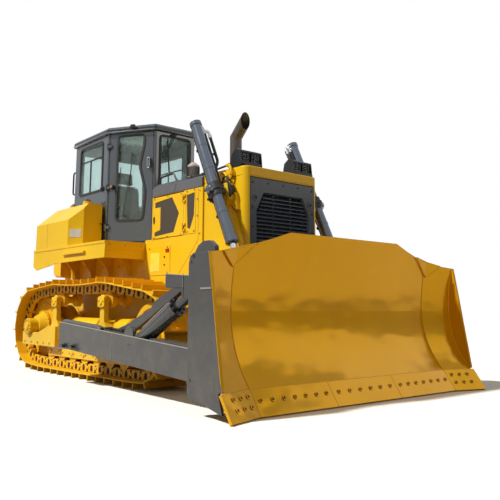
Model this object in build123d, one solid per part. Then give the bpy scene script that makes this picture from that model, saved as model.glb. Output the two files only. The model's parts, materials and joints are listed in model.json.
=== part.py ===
"""Crawler bulldozer with a semi-U blade, built as an assembly.

Units are millimetres. X points forward, Y to the machine's left, Z up.
All sizes are measured from the sprocket axis (x = 0), the machine's middle (y = 0)
and the ground (z = 0). place() moves each piece so that the whole is centred in x.
"""
from build123d import *
from math import acos, atan2, cos, degrees, hypot, pi, radians, sin, tan
import os

# Fits and clearances
FACE_GAP = 0.3           # curved faces that would touch
ROUND_GAP = 1.3          # under a many-sided wheel, whose corners stand out a little
RUN_GAP = 8.0            # door edges, running gaps
PIN_FIT = 0.1            # pins in their bores, on the radius

# Tracks
GAUGE = 2000.0           # middle of one track to middle of the other
SHOE_WIDTH = 560.0
SHOE_PITCH = 216.0
SHOE_COUNT = 42
SHOE_THICK = 14.0
SHOE_INSET = 6.0         # half the gap between two plates
GROUSER_HIGH = 65.0
GROUSER_THICK = 20.0
GROUSER_AT = 24.0        # from the pin to the grouser's near face
LINK_OUT = 58.0          # from the pins out to the shoe's seat
LINK_IN = 50.0           # from the pins in to the rail's running face
LINK_NOTCH = 30.0        # from the pins in to the notch between two links
LINK_THICK = 55.0
RAIL_AT = 80.0           # from the track's middle to the inner face of a rail
RAIL_CORNER = 36.0       # from the pin to where the running face starts
RAIL_SUNK = 3.0          # the rail's seat lies this far under the shoe's face
BUSH_R = 32.0
SPROCKET_LINKS = 13.5    # links that would go once round the sprocket
SPROCKET_Z = 620.0
IDLER_PITCH_R = 439.0
IDLER_Z = 584.0
ROLLER_X = (540.0, 2560.0)   # first and last bottom roller
ROLLER_COUNT = 7
FLAT_PAST = 160.0        # the chain lies flat this far past the end rollers
ROLLER_R = 105.0
ROLLER_FLANGE = 17.0
CARRIER_X = (770.0, 2130.0)  # the two rollers under the top run
CARRIER_R = 95.0
CARRIER_PITCH_Z = 1153.0     # height of the pins over those rollers
TOP_SAG = 26.0

# Track frames
BEAM_HALF = 115.0
BEAM_Z = (420.0, 640.0)
BEAM_X = (640.0, 2620.0)
GUARD_AT = 154.0         # roller guards, from the track's middle
GUARD_THICK = 14.0
TRUNNION_X = 2000.0
TRUNNION_Z = 565.0
TRUNNION_R = 80.0

# Hull
HULL_HALF = 600.0        # upper hull
HULL_REAR = -300.0
TUB_HALF = 460.0         # between the tracks
TUB_Z = (415.0, 1120.0)
TUB_X = (-430.0, 4040.0)
TUB_STEP_X = 3300.0       # forward of this the tub drops under the radiator guard
PLATE = 20.0             # hull side plates
PANEL = 30.0             # hood panels and doors, over their frames
DECK_Z = 1750.0          # top of the fenders
FENDER_HALF = 1200.0     # outer edge of the fenders
FENDER_X = (-140.0, 2080.0)
SKIRT_LOW = 1530.0
SKIRT_TAIL = 1445.0
HOOD_X = (2235.0, 3340.0)
HOOD_Z = 2515.0
BAND_Z = 2340.0          # lower edge of the hood's side band
DOOR_GAP = 4.0           # round the engine doors
DOOR_TOP = BAND_Z - 10
DOOR_LOW = 1785.0
DOOR_WIDE = 715.0
DOOR_SPLIT = HOOD_X[0] + DOOR_WIDE      # hinge line of the engine door

# Radiator guard and grille
NOSE_X = (HOOD_X[1], HOOD_X[1] + 760)
NOSE_HALF = 580.0
NOSE_Z = (1000.0, 2484.0)
NOSE_WALL = 60.0
NOSE_ROUND = 85.0
MASK_HALF = 512.0
MASK_Z = (1150.0, 2365.0)
MASK_THICK = 40.0
MASK_LEDGE = 30.0
LOUVRE_PITCH = 44.0
LOUVRE_THICK = 10.0
LOUVRE_TOP = (300.0, 2180.0)     # upper corner of the louvre field
LOUVRE_SIDE = (400.0, 1980.0)    # its side corner
LOUVRE_LOW = 1240.0

# Cab
CAB_REAR = (100.0, 700.0)
CAB_PILLAR = (1210.0, 730.0)
CAB_FRONT = (1860.0, 340.0)
CAB_WALL = 45.0
CAB_TOP = 3400.0
ROOF_THICK = 85.0
ROOF_OVER = 30.0
GLASS = 6.0
CAB_DOOR_LOW = DECK_Z + 56
CAB_DOOR_TOP = CAB_TOP - 15

# Side tanks and rear tank
TANK_X = (-120.0, 1156.0)
TANK_CHAMFER = 156.0
TANK_Z = 2360.0
TANK_IN = 760.0
TANK_BREAK = (970.0, 2120.0)     # inner edge of the sloped top, its outer height
REAR_TANK_X = (-430.0, 60.0)
REAR_TANK_Z = (1360.0, 2330.0)

# Blade
EDGE_TIP = (5316.0, 15.0)        # bottom of the cutting edge
BOARD_LOW = (5172.0, 228.0)      # where the edge meets the moldboard
BOARD_BACK_X = 4915.0            # rearmost point of the curved front
BOARD_BACK_Z = 880.0
BOARD_UPPER_R = 1980.0
BOARD_THICK = 25.0
BOARD_TOP = 1621.0
BOARD_CROWN_HALF = 823.0
WING_FROM = 1447.0
WING_TO = 1850.0
WING_SWEEP = 17.4                # degrees
SHOULDER_Z = 1400.0              # top of the blade where the wing starts
CORNER_Z = 1380.0
EDGE_THICK = 32.0
SIDE_PLATE = 25.0
BACK_X = 4790.0
ARM_X = (1860.0, 4790.0)
ARM_IN = 1400.0
ARM_OUT = 1660.0
ARM_REAR_Z = (420.0, 712.0)
ARM_FRONT_Z = (235.0, 525.0)

# Lift cylinders
LIFT_Y = 800.0
YOKE = (3850.0, 2200.0)          # trunnion of the barrel
EYE = (4564.0, 700.0)            # pin in the blade's ears
BARREL_R = 62.0
BARREL_ABOVE = 948.0             # barrel above and below its trunnion
BARREL_BELOW = 675.0
ROD_R = 32.0
EYE_R = 62.0
EYE_HALF = 38.0
EAR_GAP = 6.0
EAR_THICK = 40.0


def box(x, y, z):
    """A box from three (low, high) pairs."""
    size = [b - a for a, b in (x, y, z)]
    middle = [(a + b) / 2 for a, b in (x, y, z)]
    return Pos(*middle) * Box(*size)


def plate_y(points, y0, y1, holes=()):
    """A profile of (x, z) points, extruded from y0 to y1."""
    wires = [Wire.make_polygon([(x, y0, z) for x, z in ring]) for ring in (points, *holes)]
    return Solid.extrude(Face(wires[0], wires[1:]), Vector(0, y1 - y0, 0))


def plate_x(points, x0, x1):
    """A profile of (y, z) points, extruded from x0 to x1."""
    wire = Wire.make_polygon([(x0, y, z) for y, z in points])
    return Solid.extrude(Face(wire), Vector(x1 - x0, 0, 0))


def plate_z(points, z0, z1):
    """A plan of (x, y) points, extruded from z0 to z1."""
    wire = Wire.make_polygon([(x, y, z0) for x, y in points])
    return Solid.extrude(Face(wire), Vector(0, 0, z1 - z0))


def rod_between(a, b, radius):
    """A round bar from point a to point b."""
    a, b = Vector(*a), Vector(*b)
    return Solid.make_cylinder(radius, (b - a).length, Plane(a, z_dir=b - a))


def bar_y(x, z, y0, y1, radius):
    """A round bar along Y."""
    return rod_between((x, min(y0, y1), z), (x, max(y0, y1), z), radius)


def prism_y(x, z, y0, y1, radius, sides):
    """A many-sided bar along Y with a flat side below, radius to its flats."""
    corner = radius / cos(pi / sides)
    ring = [(x + corner * sin(pi * (2 * k + 1) / sides), z - corner * cos(pi * (2 * k + 1) / sides))
            for k in range(sides)]
    return plate_y(ring, min(y0, y1), max(y0, y1))


def soft_plate(plane, points, radius, depth):
    """A plate with rounded corners, drawn on a plane and extruded along its normal."""
    outline = FilletPolyline(*points, radius=radius, close=True)
    return Solid.extrude(make_face(plane * outline).face(), plane.z_dir * depth)


def side_plane(y):
    """Drawing plane across the machine's side: local x forward, local y up."""
    return Plane((0, y, 0), x_dir=(1, 0, 0), z_dir=(0, -1, 0))


def front_plane(x):
    """Drawing plane across the machine's front: local x to the left, local y up."""
    return Plane((x, 0, 0), x_dir=(0, 1, 0), z_dir=(1, 0, 0))


def soft_y(points, y0, y1, radius):
    """A profile of (x, z) points with rounded corners, between y0 and y1."""
    return soft_plate(side_plane(max(y0, y1)), points, radius, abs(y1 - y0))


def soft_x(points, x0, x1, radius):
    """A profile of (y, z) points with rounded corners, between x0 and x1."""
    return soft_plate(front_plane(min(x0, x1)), points, radius, abs(x1 - x0))


def rectangle(a, b):
    """Corner points of a rectangle from its (low, high) pairs."""
    return [(a[0], b[0]), (a[1], b[0]), (a[1], b[1]), (a[0], b[1])]


def bent_rod(points, radius):
    """A round bar along straight runs that meet in mitres."""
    path = Polyline(*points)
    start = Vector(*points[0])
    ahead = (Vector(*points[1]) - start).normalized()
    section = Plane(start, z_dir=ahead) * Circle(radius)
    return sweep(section, path=path, transition=Transition.RIGHT).solid()


def mirrored(shape):
    """The same piece on the machine's left side."""
    return mirror(shape, about=Plane.XZ)


def both(shape):
    return [shape, mirrored(shape)]


def symmetric_plan(corners):
    """A closed plan from its right-hand (x, half width) corners, front to rear."""
    return [(x, -w) for x, w in corners] + [(x, w) for x, w in reversed(corners)]


# Track loop

SPROCKET_PITCH_R = SHOE_PITCH * SPROCKET_LINKS / (2 * pi)
GROUND_PIN_Z = LINK_OUT + SHOE_THICK + GROUSER_HIGH
TIP_OUT = LINK_OUT + SHOE_THICK + GROUSER_HIGH


def arc(cx, cz, r, a0, a1, steps):
    turn = [radians(a0 + (a1 - a0) * i / steps) for i in range(steps + 1)]
    return [(cx + r * cos(a), cz + r * sin(a)) for a in turn]


def tangent_angle(cx, cz, r, px, pz, side):
    """Where a line from p touches the circle, in degrees; side is +1 or -1."""
    away = degrees(atan2(pz - cz, px - cx))
    return away + side * degrees(acos(r / hypot(px - cx, pz - cz)))


def pin_path(idler_x):
    """The line of the pins, once round from the sprocket's rear."""
    rear, front = CARRIER_X
    top = CARRIER_PITCH_Z
    leave = tangent_angle(idler_x, IDLER_Z, IDLER_PITCH_R, front, top, -1)
    land = tangent_angle(0, SPROCKET_Z, SPROCKET_PITCH_R, rear, top, 1)
    path = arc(0, SPROCKET_Z, SPROCKET_PITCH_R, 180, 270, 30)
    path += [(ROLLER_X[0] - FLAT_PAST, GROUND_PIN_Z), (ROLLER_X[1] + FLAT_PAST, GROUND_PIN_Z)]
    path += arc(idler_x, IDLER_Z, IDLER_PITCH_R, -90, leave, 60)
    for i in range(9):
        t = i / 8
        path.append((front + (rear - front) * t, top - 4 * TOP_SAG * t * (1 - t)))
    path += arc(0, SPROCKET_Z, SPROCKET_PITCH_R, land, 180, 30)
    return path


def path_length(path):
    return sum(hypot(b[0] - a[0], b[1] - a[1]) for a, b in zip(path, path[1:]))


def tensioned_idler():
    """The tensioner moves the idler until the chain closes."""
    x = 3000.0
    for _ in range(6):
        x += (SHOE_COUNT * SHOE_PITCH - path_length(pin_path(x))) / 2
    return x


IDLER_X = tensioned_idler()


def track_pins():
    path = pin_path(IDLER_X)
    pins = []
    walked = 0.0
    for a, b in zip(path, path[1:]):
        step = hypot(b[0] - a[0], b[1] - a[1])
        while len(pins) < SHOE_COUNT and len(pins) * SHOE_PITCH <= walked + step + 1e-6:
            t = (len(pins) * SHOE_PITCH - walked) / max(step, 1e-9)
            pins.append((a[0] + (b[0] - a[0]) * t, a[1] + (b[1] - a[1]) * t))
        walked += step
    return pins


PINS = track_pins()
LINKS = list(zip(PINS, PINS[1:] + PINS[:1]))


def along_links(outline):
    """Repeat an outline of (from the pin, outwards) points on each link."""
    points = []
    for a, b in LINKS:
        size = hypot(b[0] - a[0], b[1] - a[1])
        tx, tz = (b[0] - a[0]) / size, (b[1] - a[1]) / size
        for s, n in outline(size):
            points.append((a[0] + tx * s + tz * n, a[1] + tz * s - tx * n))
    return points


def shoe_outside(size):
    face = LINK_OUT + SHOE_THICK
    tip = face + GROUSER_HIGH
    near, far = GROUSER_AT, GROUSER_AT + GROUSER_THICK
    return [(SHOE_INSET, face), (near, face), (near, tip), (far, tip), (far, face),
            (size - SHOE_INSET, face)]


def shoe_inside(size):
    return [(SHOE_INSET, LINK_OUT), (size - SHOE_INSET, LINK_OUT)]


def rail_outside(size):
    return [(0, LINK_OUT + SHOE_THICK - RAIL_SUNK)]


def rail_inside(size):
    return [(0, -LINK_NOTCH), (RAIL_CORNER, -LINK_IN), (size - RAIL_CORNER, -LINK_IN)]


def track():
    """The right-hand chain and its shoes, as one loop."""
    half = SHOE_WIDTH / 2
    middle = -GAUGE / 2
    loop = plate_y(along_links(shoe_outside), middle - half, middle + half,
                   [along_links(shoe_inside)])
    rails = along_links(rail_outside)
    inside = along_links(rail_inside)
    for side in (-1, 1):
        near = middle + side * RAIL_AT
        loop += plate_y(rails, near, near + side * LINK_THICK, [inside])
    return loop


def rail_seat(x, radius):
    """Centre height of a roller of this radius that carries the top run at x."""
    heights = []
    for a, b in LINKS:
        if a[1] > SPROCKET_Z and min(a[0], b[0]) - SHOE_PITCH < x < max(a[0], b[0]) + SHOE_PITCH:
            slope = (b[1] - a[1]) / (b[0] - a[0])
            line = a[1] + slope * (x - a[0])
            heights.append(line - (LINK_IN + radius + ROUND_GAP) * hypot(1, slope))
    return min(heights)


# Sprockets, idlers and rollers

SPROCKET_HALF = 30.0
TOOTH_TIP = 12.0
TEETH = 27
HUB_R = 210.0


def sprocket():
    root = SPROCKET_PITCH_R - BUSH_R - 4
    outline = []
    for k in range(TEETH):
        for turn, r in ((0, root), (3.2, root + 6), (5.4, SPROCKET_PITCH_R + TOOTH_TIP),
                        (360 / TEETH - 5.4, SPROCKET_PITCH_R + TOOTH_TIP),
                        (360 / TEETH - 3.2, root + 6)):
            a = radians(180 + k * 360 / TEETH + turn)
            outline.append((r * cos(a), SPROCKET_Z + r * sin(a)))
    middle = -GAUGE / 2
    wheel = plate_y(outline, middle - SPROCKET_HALF, middle + SPROCKET_HALF)
    wheel -= bar_y(0, SPROCKET_Z, middle - 100, middle + 100, HUB_R)
    return wheel


IDLER_RIM = IDLER_PITCH_R * cos(SHOE_PITCH / 2 / IDLER_PITCH_R) - LINK_IN - 2.0
IDLER_FLANGE = 20.0
IDLER_SHAFT_R = 42.0
FORK_OUT = 196.0


def idler():
    middle = -GAUGE / 2
    x, z = IDLER_X, IDLER_Z
    rim_half = RAIL_AT + LINK_THICK
    wheel = prism_y(x, z, middle - rim_half, middle + rim_half, IDLER_RIM, IDLER_SIDES)
    for side in (-1, 1):
        near, far = middle + side * IDLER_WEB, middle + side * (rim_half + 5)
        wheel -= prism_y(x, z, near, far, IDLER_RIM - IDLER_RIM_THICK, IDLER_SIDES // 2)
    wheel += prism_y(x, z, middle - IDLER_TREAD, middle + IDLER_TREAD, IDLER_RIM + IDLER_FLANGE,
                     IDLER_SIDES)
    wheel += prism_y(x, z, middle - rim_half, middle + rim_half, IDLER_HUB_R, ROUND_SIDES)
    return wheel + bar_y(x, z, middle - FORK_OUT, middle + FORK_OUT, IDLER_SHAFT_R)


ROUND_SIDES = 16         # rollers and small hubs, which repeat, are many-sided
IDLER_SIDES = 36
IDLER_WEB = 60.0         # half the thickness of the idler's web
IDLER_RIM_THICK = 62.0
IDLER_TREAD = RAIL_AT - 10
IDLER_HUB_R = 110.0
ROLLER_END = 9.0         # thickness of a roller's flange


def track_roller(x):
    middle = -GAUGE / 2
    z = GROUND_PIN_Z + LINK_IN + ROLLER_R + ROUND_GAP
    far = RAIL_AT + LINK_THICK + 3
    roller = prism_y(x, z, middle - far, middle + far, ROLLER_R, ROLLER_SIDES)
    for side in (-1, 1):
        near = middle + side * far
        roller += prism_y(x, z, near, near + side * ROLLER_END, ROLLER_R + ROLLER_FLANGE,
                          ROLLER_SIDES)
    return roller + prism_y(x, z, middle - GUARD_AT, middle + GUARD_AT, 30, 6)


ROLLER_SIDES = 12


def roller_places():
    first, last = ROLLER_X
    return [first + (last - first) * i / (ROLLER_COUNT - 1) for i in range(ROLLER_COUNT)]


def carrier_roller(x):
    middle = -GAUGE / 2
    z = rail_seat(x, CARRIER_R)
    roller = prism_y(x, z, middle - POST_AT, middle + 60, 46, ROUND_SIDES)
    for side in (-1, 1):
        near, far = middle + side * (RAIL_AT - 8), middle + side * (RAIL_AT + LINK_THICK + 3)
        roller += prism_y(x, z, near, far, CARRIER_R, ROUND_SIDES)
        roller += prism_y(x, z, middle + side * 40, near, 62, ROUND_SIDES)
        roller += prism_y(x, z, far, far + side * 6, CARRIER_R - 18, ROUND_SIDES)
    return roller


HUB_CAP_R = 118.0
RECOIL_X = ((1040.0, 1800.0), (2190.0, 2560.0))   # covers of the track's tensioner
RECOIL_R = 125.0
TAIL_IN = 175.0          # rear carrier plate of the track frame, from the track's middle
TAIL_OUT = 275.0
POST_AT = 170.0
POST_THICK = 60.0
POST_WIDE = 110.0


def final_drive():
    """Drive case inboard of the sprocket and its hub cover outboard."""
    middle = -GAUGE / 2
    drive = bar_y(0, SPROCKET_Z, -TUB_HALF, middle + SPROCKET_HALF, DRIVE_CASE_R)
    drive += bar_y(0, SPROCKET_Z, middle - SPROCKET_HALF - HUB_LIP, middle + SPROCKET_HALF + HUB_LIP,
                   HUB_R - FACE_GAP)
    near = middle - SPROCKET_HALF - HUB_LIP
    far = middle - TAIL_IN
    drive += bar_y(0, SPROCKET_Z, near, near - 22, DOME_R)
    drive += Solid.make_cone(DOME_R - 14, DOME_END_R, abs(far - near),
                             Plane((0, near, SPROCKET_Z), z_dir=(0, -1, 0)))
    return drive + bar_y(0, SPROCKET_Z, far, middle - TAIL_OUT - HUB_CAP_PROUD, HUB_CAP_R)


DRIVE_CASE_R = 190.0
HUB_LIP = 20.0
DOME_R = 232.0
DOME_END_R = 150.0
HUB_CAP_PROUD = 30.0


# Track frames

def track_frame():
    middle = -GAUGE / 2
    low, high = BEAM_Z
    rear, front = BEAM_X
    frame = box((rear, front), (middle - BEAM_HALF, middle + BEAM_HALF), (low, high))
    roller_z = GROUND_PIN_Z + LINK_IN + ROLLER_R + FACE_GAP
    for side in (-1, 1):
        near = middle + side * GUARD_AT
        guard = [(ROLLER_X[0] - 60, roller_z - 60), (ROLLER_X[1] + 60, roller_z - 60),
                 (ROLLER_X[1] + 60, low + 40), (ROLLER_X[0] + 60, low + 40)]
        frame += plate_y(guard, near, near + side * GUARD_THICK)
        frame += box((rear, front), sorted((middle + side * BEAM_HALF, near + side * GUARD_THICK)),
                     (low, low + 40))
        fork_in, fork_out = middle + side * 145, middle + side * 185
        fork = [(front - 200, low + 60), (IDLER_X + 90, low + 100), (IDLER_X + 90, high + 10),
                (front - 200, high)]
        arm = plate_y(fork, fork_in, fork_out)
        arm -= bar_y(IDLER_X, IDLER_Z, middle, middle + side * 250, IDLER_SHAFT_R + PIN_FIT)
        arm += box((front - 200, front), sorted((middle + side * BEAM_HALF, fork_out)),
                   (low + 60, high))
        frame += arm
    for x in CARRIER_X:
        z = rail_seat(x, CARRIER_R)
        near, far = middle - POST_AT, middle - POST_AT - POST_THICK
        half = POST_WIDE / 2
        frame += soft_y(rectangle((x - half, x + half), (low + 40, z + 62)), near, far, 40)
        frame += soft_y(rectangle((x - half - 28, x + half + 28), (z - 95, z + 40)), far + 8,
                        far - 22, 34)
        foot = [(x - POST_WIDE - 20, low + 40), (x + POST_WIDE + 20, low + 40),
                (x + POST_WIDE + 20, high), (x + half, high + 90), (x - half, high + 90),
                (x - POST_WIDE - 20, high)]
        frame += plate_y(foot, far, middle - BEAM_HALF)
    tail = [(-230, 360), (880, 360), (880, high), (640, high), (300, 540), (-250, 540)]
    carrier = plate_y(tail, middle - TAIL_OUT + 10, middle - TAIL_IN)
    frame += carrier - bar_y(0, SPROCKET_Z, middle - 300, middle - 100, HUB_CAP_R + FACE_GAP)
    frame += box((rear, 880), (middle - TAIL_OUT + 10, middle - BEAM_HALF), (low, high))
    frame += bar_y(TRUNNION_X, TRUNNION_Z, middle - BEAM_HALF, -(ARM_OUT - BLIND_WALL - 6), TRUNNION_R)
    for start, end in RECOIL_X:
        frame += rod_between((start, middle, high), (end, middle, high), RECOIL_R)
    return frame


def equalizer_bar():
    ends = GAUGE / 2
    bar = plate_x([(-ends - 60, 645), (-ends - 60, 720), (-TUB_HALF, 800), (TUB_HALF, 800),
                   (ends + 60, 720), (ends + 60, 645), (TUB_HALF, 660), (-TUB_HALF, 660)],
                  1880, 2060)
    return bar


# Hull

def main_frame():
    low, high = TUB_Z
    rear, front = TUB_X
    step, under = TUB_STEP_X, NOSE_Z[0] - 10
    side = [(rear, low + 150), (rear + 130, low), (front - 780, low), (front, low + 330),
            (front, under), (step, under), (step, high), (rear, high)]
    frame = plate_y(side, -TUB_HALF, TUB_HALF)
    frame += box((NOSE_X[0], front), (-NOSE_HALF, NOSE_HALF), (NOSE_Z[0] - 110, NOSE_Z[0]))
    frame -= box((1880 - 10, 2060 + 10), (-TUB_HALF - 5, TUB_HALF + 5), (630, 830))
    frame += box((1900, 2040), (-60, 60), (800 + FACE_GAP, 835))
    frame += box((HULL_REAR, FENDER_X[1]), (-HULL_HALF, HULL_HALF), (high, DECK_Z))
    return frame


def engine_block():
    return box((2380, 3180), (-330, 330), (TUB_Z[1], 2150))


def radiator_core():
    back = NOSE_X[1] - NOSE_WALL - 150
    return box((back - 110, back), (-NOSE_HALF + NOSE_WALL + 20, NOSE_HALF - NOSE_WALL - 20),
               (NOSE_Z[0], NOSE_Z[1] - NOSE_WALL - 30))


def side_panels():
    """The fixed panels under the engine doors and in front of them."""
    rear, front = FENDER_X[1], NOSE_X[0]
    low = [(rear, TUB_Z[1] + 60), (front, TUB_Z[1] + 60), (front, BAND_Z),
           (DOOR_SPLIT, BAND_Z), (DOOR_SPLIT, DOOR_LOW - DOOR_GAP), (rear, DOOR_LOW - DOOR_GAP)]
    panel = plate_y(low, -HULL_HALF, -HULL_HALF + PLATE)
    panel -= soft_y(VENT_SLOT, -HULL_HALF - 5, -HULL_HALF + RECESS, 12)
    for seam in PANEL_SEAMS:
        panel -= groove(seam, -HULL_HALF)
    panel += soft_y(COVER, -HULL_HALF, -HULL_HALF - COVER_PROUD, 18)
    panel += box((rear, TUB_STEP_X), (-HULL_HALF, -TUB_HALF), (TUB_Z[1] - 30, TUB_Z[1] + 60))
    for z in ENGINE_HINGES:
        panel += engine_knuckle(z, True)
    return both(panel)


RECESS = 8.0
VENT_SLOT = [(3013, 2276), (3179, 2291), (3165, 2011), (3087, 1847), (3035, 1864)]
COVER = [(2146, 1310), (2675, 1310), (2675, 1690), (2146, 1690)]
COVER_PROUD = 5.0
PANEL_SEAMS = [[(3255, 2330), (3255, 1700), (2870, 1320)], [(3000, 2330), (3000, 1790)],
               [(3200, 2330), (3200, 1790), (2240, 1772)]]
SEAM = 7.0               # width and depth of the gap between two panels


def groove(points, y):
    """A seam cut along a line of (x, z) points in the panel face at y."""
    made = []
    for (xa, za), (xb, zb) in zip(points, points[1:]):
        size = hypot(xb - xa, zb - za)
        ux, uz = (xb - xa) / size * SEAM / 2, (zb - za) / size * SEAM / 2
        ring = [(xa - ux - uz, za - uz + ux), (xa - ux + uz, za - uz - ux),
                (xb + ux + uz, zb + uz - ux), (xb + ux - uz, zb + uz + ux)]
        made.append(plate_y(ring, y - 5, y + SEAM))
    return made


ENGINE_HINGES = (DOOR_LOW + 95, DOOR_TOP - 90)
ENGINE_HINGE_OUT = 16.0


def engine_knuckle(z, fixed):
    """Hinge knuckles at height z: the panel's two, or the door's one between them."""
    x, y = DOOR_SPLIT, -HULL_HALF - ENGINE_HINGE_OUT
    spans = [(z - 50, z - 22), (z + 22, z + 50)] if fixed else [(z - 22 + FACE_GAP, z + 22 - FACE_GAP)]
    away = (x - 4, x + 40) if fixed else (x - 44, x + 4)
    made = []
    for z0, z1 in spans:
        made.append(rod_between((x, y, z0), (x, y, z1), HINGE_R))
        made.append(box(away, (y, y + 8), (z0, z1)))
        foot = (x + 20, x + 40) if fixed else (x - 44, x - 24)
        made.append(box(foot, (y + 6, -HULL_HALF), (z0, z1)))
    return made


def hood():
    rear, front = HOOD_X
    outline = [(HULL_HALF, BAND_Z), (HULL_HALF, HOOD_Z - 60), (HULL_HALF - 60, HOOD_Z)]
    skin = plate_x([(-w, z) for w, z in outline] + [(w, z) for w, z in reversed(outline)],
                   rear, front)
    top = skin.edges().filter_by(Axis.X).filter_by(lambda e: e.center().Z > HOOD_Z - 80)
    skin = fillet(top, 24)
    inner = [(HULL_HALF - PLATE, BAND_Z - 5), (HULL_HALF - PLATE, HOOD_Z - 60 - PLATE),
             (HULL_HALF - 60, HOOD_Z - PLATE)]
    skin -= plate_x([(-w, z) for w, z in inner] + [(w, z) for w, z in reversed(inner)],
                    rear + PLATE, front + 10)
    skin += box((rear, rear + PLATE), (-HULL_HALF, HULL_HALF), (DOOR_LOW - DOOR_GAP, BAND_Z + 30))
    half = CAB_FRONT[1]
    cowl = [(-half, DECK_Z), (half, DECK_Z), (half, HOOD_Z - 90), (-half, HOOD_Z - 90)]
    wall = COWL_WALL
    cowl = plate_x(cowl, CAB_FRONT[0], rear + 5)
    cowl -= box((CAB_FRONT[0] - 5, rear + 10), (-half + wall, half - wall), (DECK_Z - 5, HOOD_Z - 90 - wall))
    return skin + cowl


COWL_WALL = 12.0


def hood_bands():
    """Trim plates along the hood's sides, a rear and a front one each side."""
    rear, front = HOOD_X
    low, high = BAND_Z + 4, HOOD_Z - 62
    seat = -HULL_HALF
    made = []
    shapes = ([(rear + 4, low), (BAND_SPLIT, low), (BAND_SPLIT + BAND_LEAN, high), (rear + 4, high)],
              [(BAND_SPLIT + 8, low), (front - 6, low), (front - 6, high),
               (BAND_SPLIT + BAND_LEAN + 8, high)])
    for points in shapes:
        made += both(soft_y(points, seat, seat - BAND_THICK, 6))
    return made


BAND_SPLIT = 2740.0
BAND_LEAN = 45.0
BAND_THICK = 6.0


def engine_door():
    """Right-hand door, hinged at its front edge."""
    rear = HOOD_X[0] + PLATE + DOOR_GAP
    door = plate_y(rectangle((rear, DOOR_SPLIT - DOOR_GAP), (DOOR_LOW + DOOR_GAP, DOOR_TOP - DOOR_GAP)),
                   -HULL_HALF, -HULL_HALF + PANEL)
    door -= soft_y(AIR_GRILLE, -HULL_HALF - 5, -HULL_HALF + RECESS, 8)
    for z in ENGINE_HINGES:
        door += engine_knuckle(z, False)
    return door


AIR_GRILLE = [(2300, 2262), (2690, 2290), (2850, 2070), (2735, 1840), (2300, 1815), (2300, 1870),
              (2430, 1895), (2430, 2190), (2300, 2190)]


def radiator_guard():
    rear, front = NOSE_X
    shell = box((rear, front), (-NOSE_HALF, NOSE_HALF), NOSE_Z)
    shell = fillet(shell.edges().filter_by(Axis.Z).group_by(Axis.X)[-1], NOSE_ROUND)
    crown = shell.edges().group_by(Axis.Z)[-1]
    shell = fillet(crown, 14)
    shell -= box((rear - 5, front - NOSE_WALL), (-NOSE_HALF + NOSE_WALL, NOSE_HALF - NOSE_WALL),
                 (NOSE_Z[0] - 5, NOSE_Z[1] - NOSE_WALL))
    shell -= box((front - MASK_THICK, front + 5), (-MASK_HALF, MASK_HALF), MASK_Z)
    shell -= box((front - NOSE_WALL - 5, front + 5), (-MASK_HALF + MASK_LEDGE, MASK_HALF - MASK_LEDGE),
                 (MASK_Z[0] + MASK_LEDGE, MASK_Z[1] - MASK_LEDGE))
    seam = box((rear, front + 5), (-NOSE_HALF - 5, NOSE_HALF + 5), (NOSE_SEAM, NOSE_SEAM + SEAM))
    inner = box((rear - 5, front - SEAM), (-NOSE_HALF + SEAM, NOSE_HALF - SEAM),
                (NOSE_SEAM - 5, NOSE_SEAM + SEAM + 5))
    shell -= seam - inner
    for side in (-1, 1):
        shell += bracket(side)
    return shell


NOSE_SEAM = 2372.0


def bracket(side):
    """Casting on the guard's side: a box for the barrel's trunnion and a long rib below it."""
    x, z = YOKE
    near = side * (NOSE_HALF - 5)
    far = side * (LIFT_Y - BARREL_R - YOKE_CLEAR)
    block = soft_y([(x - 175, z + 70), (x + 70, z + 95), (x + 105, z - 95), (x - 10, z - 190),
                    (x - 130, z - 110)], near, far, 30)
    rib = soft_y([(x - 60, z - 90), (x + 30, z - 90), (x + 215, z - 560), (x + 225, z - 900),
                  (x + 150, z - 900), (x + 60, z - 560)], near, side * (NOSE_HALF + RIB_PROUD), 25)
    hook = soft_y([(x + 40, z + 40), (x + 130, z - 40), (x + 165, z - 230), (x + 110, z - 200),
                   (x + 40, z - 120)], near, side * (NOSE_HALF + RIB_PROUD), 12)
    return [block, rib, hook]


YOKE_CLEAR = 40.0
RIB_PROUD = 48.0


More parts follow.
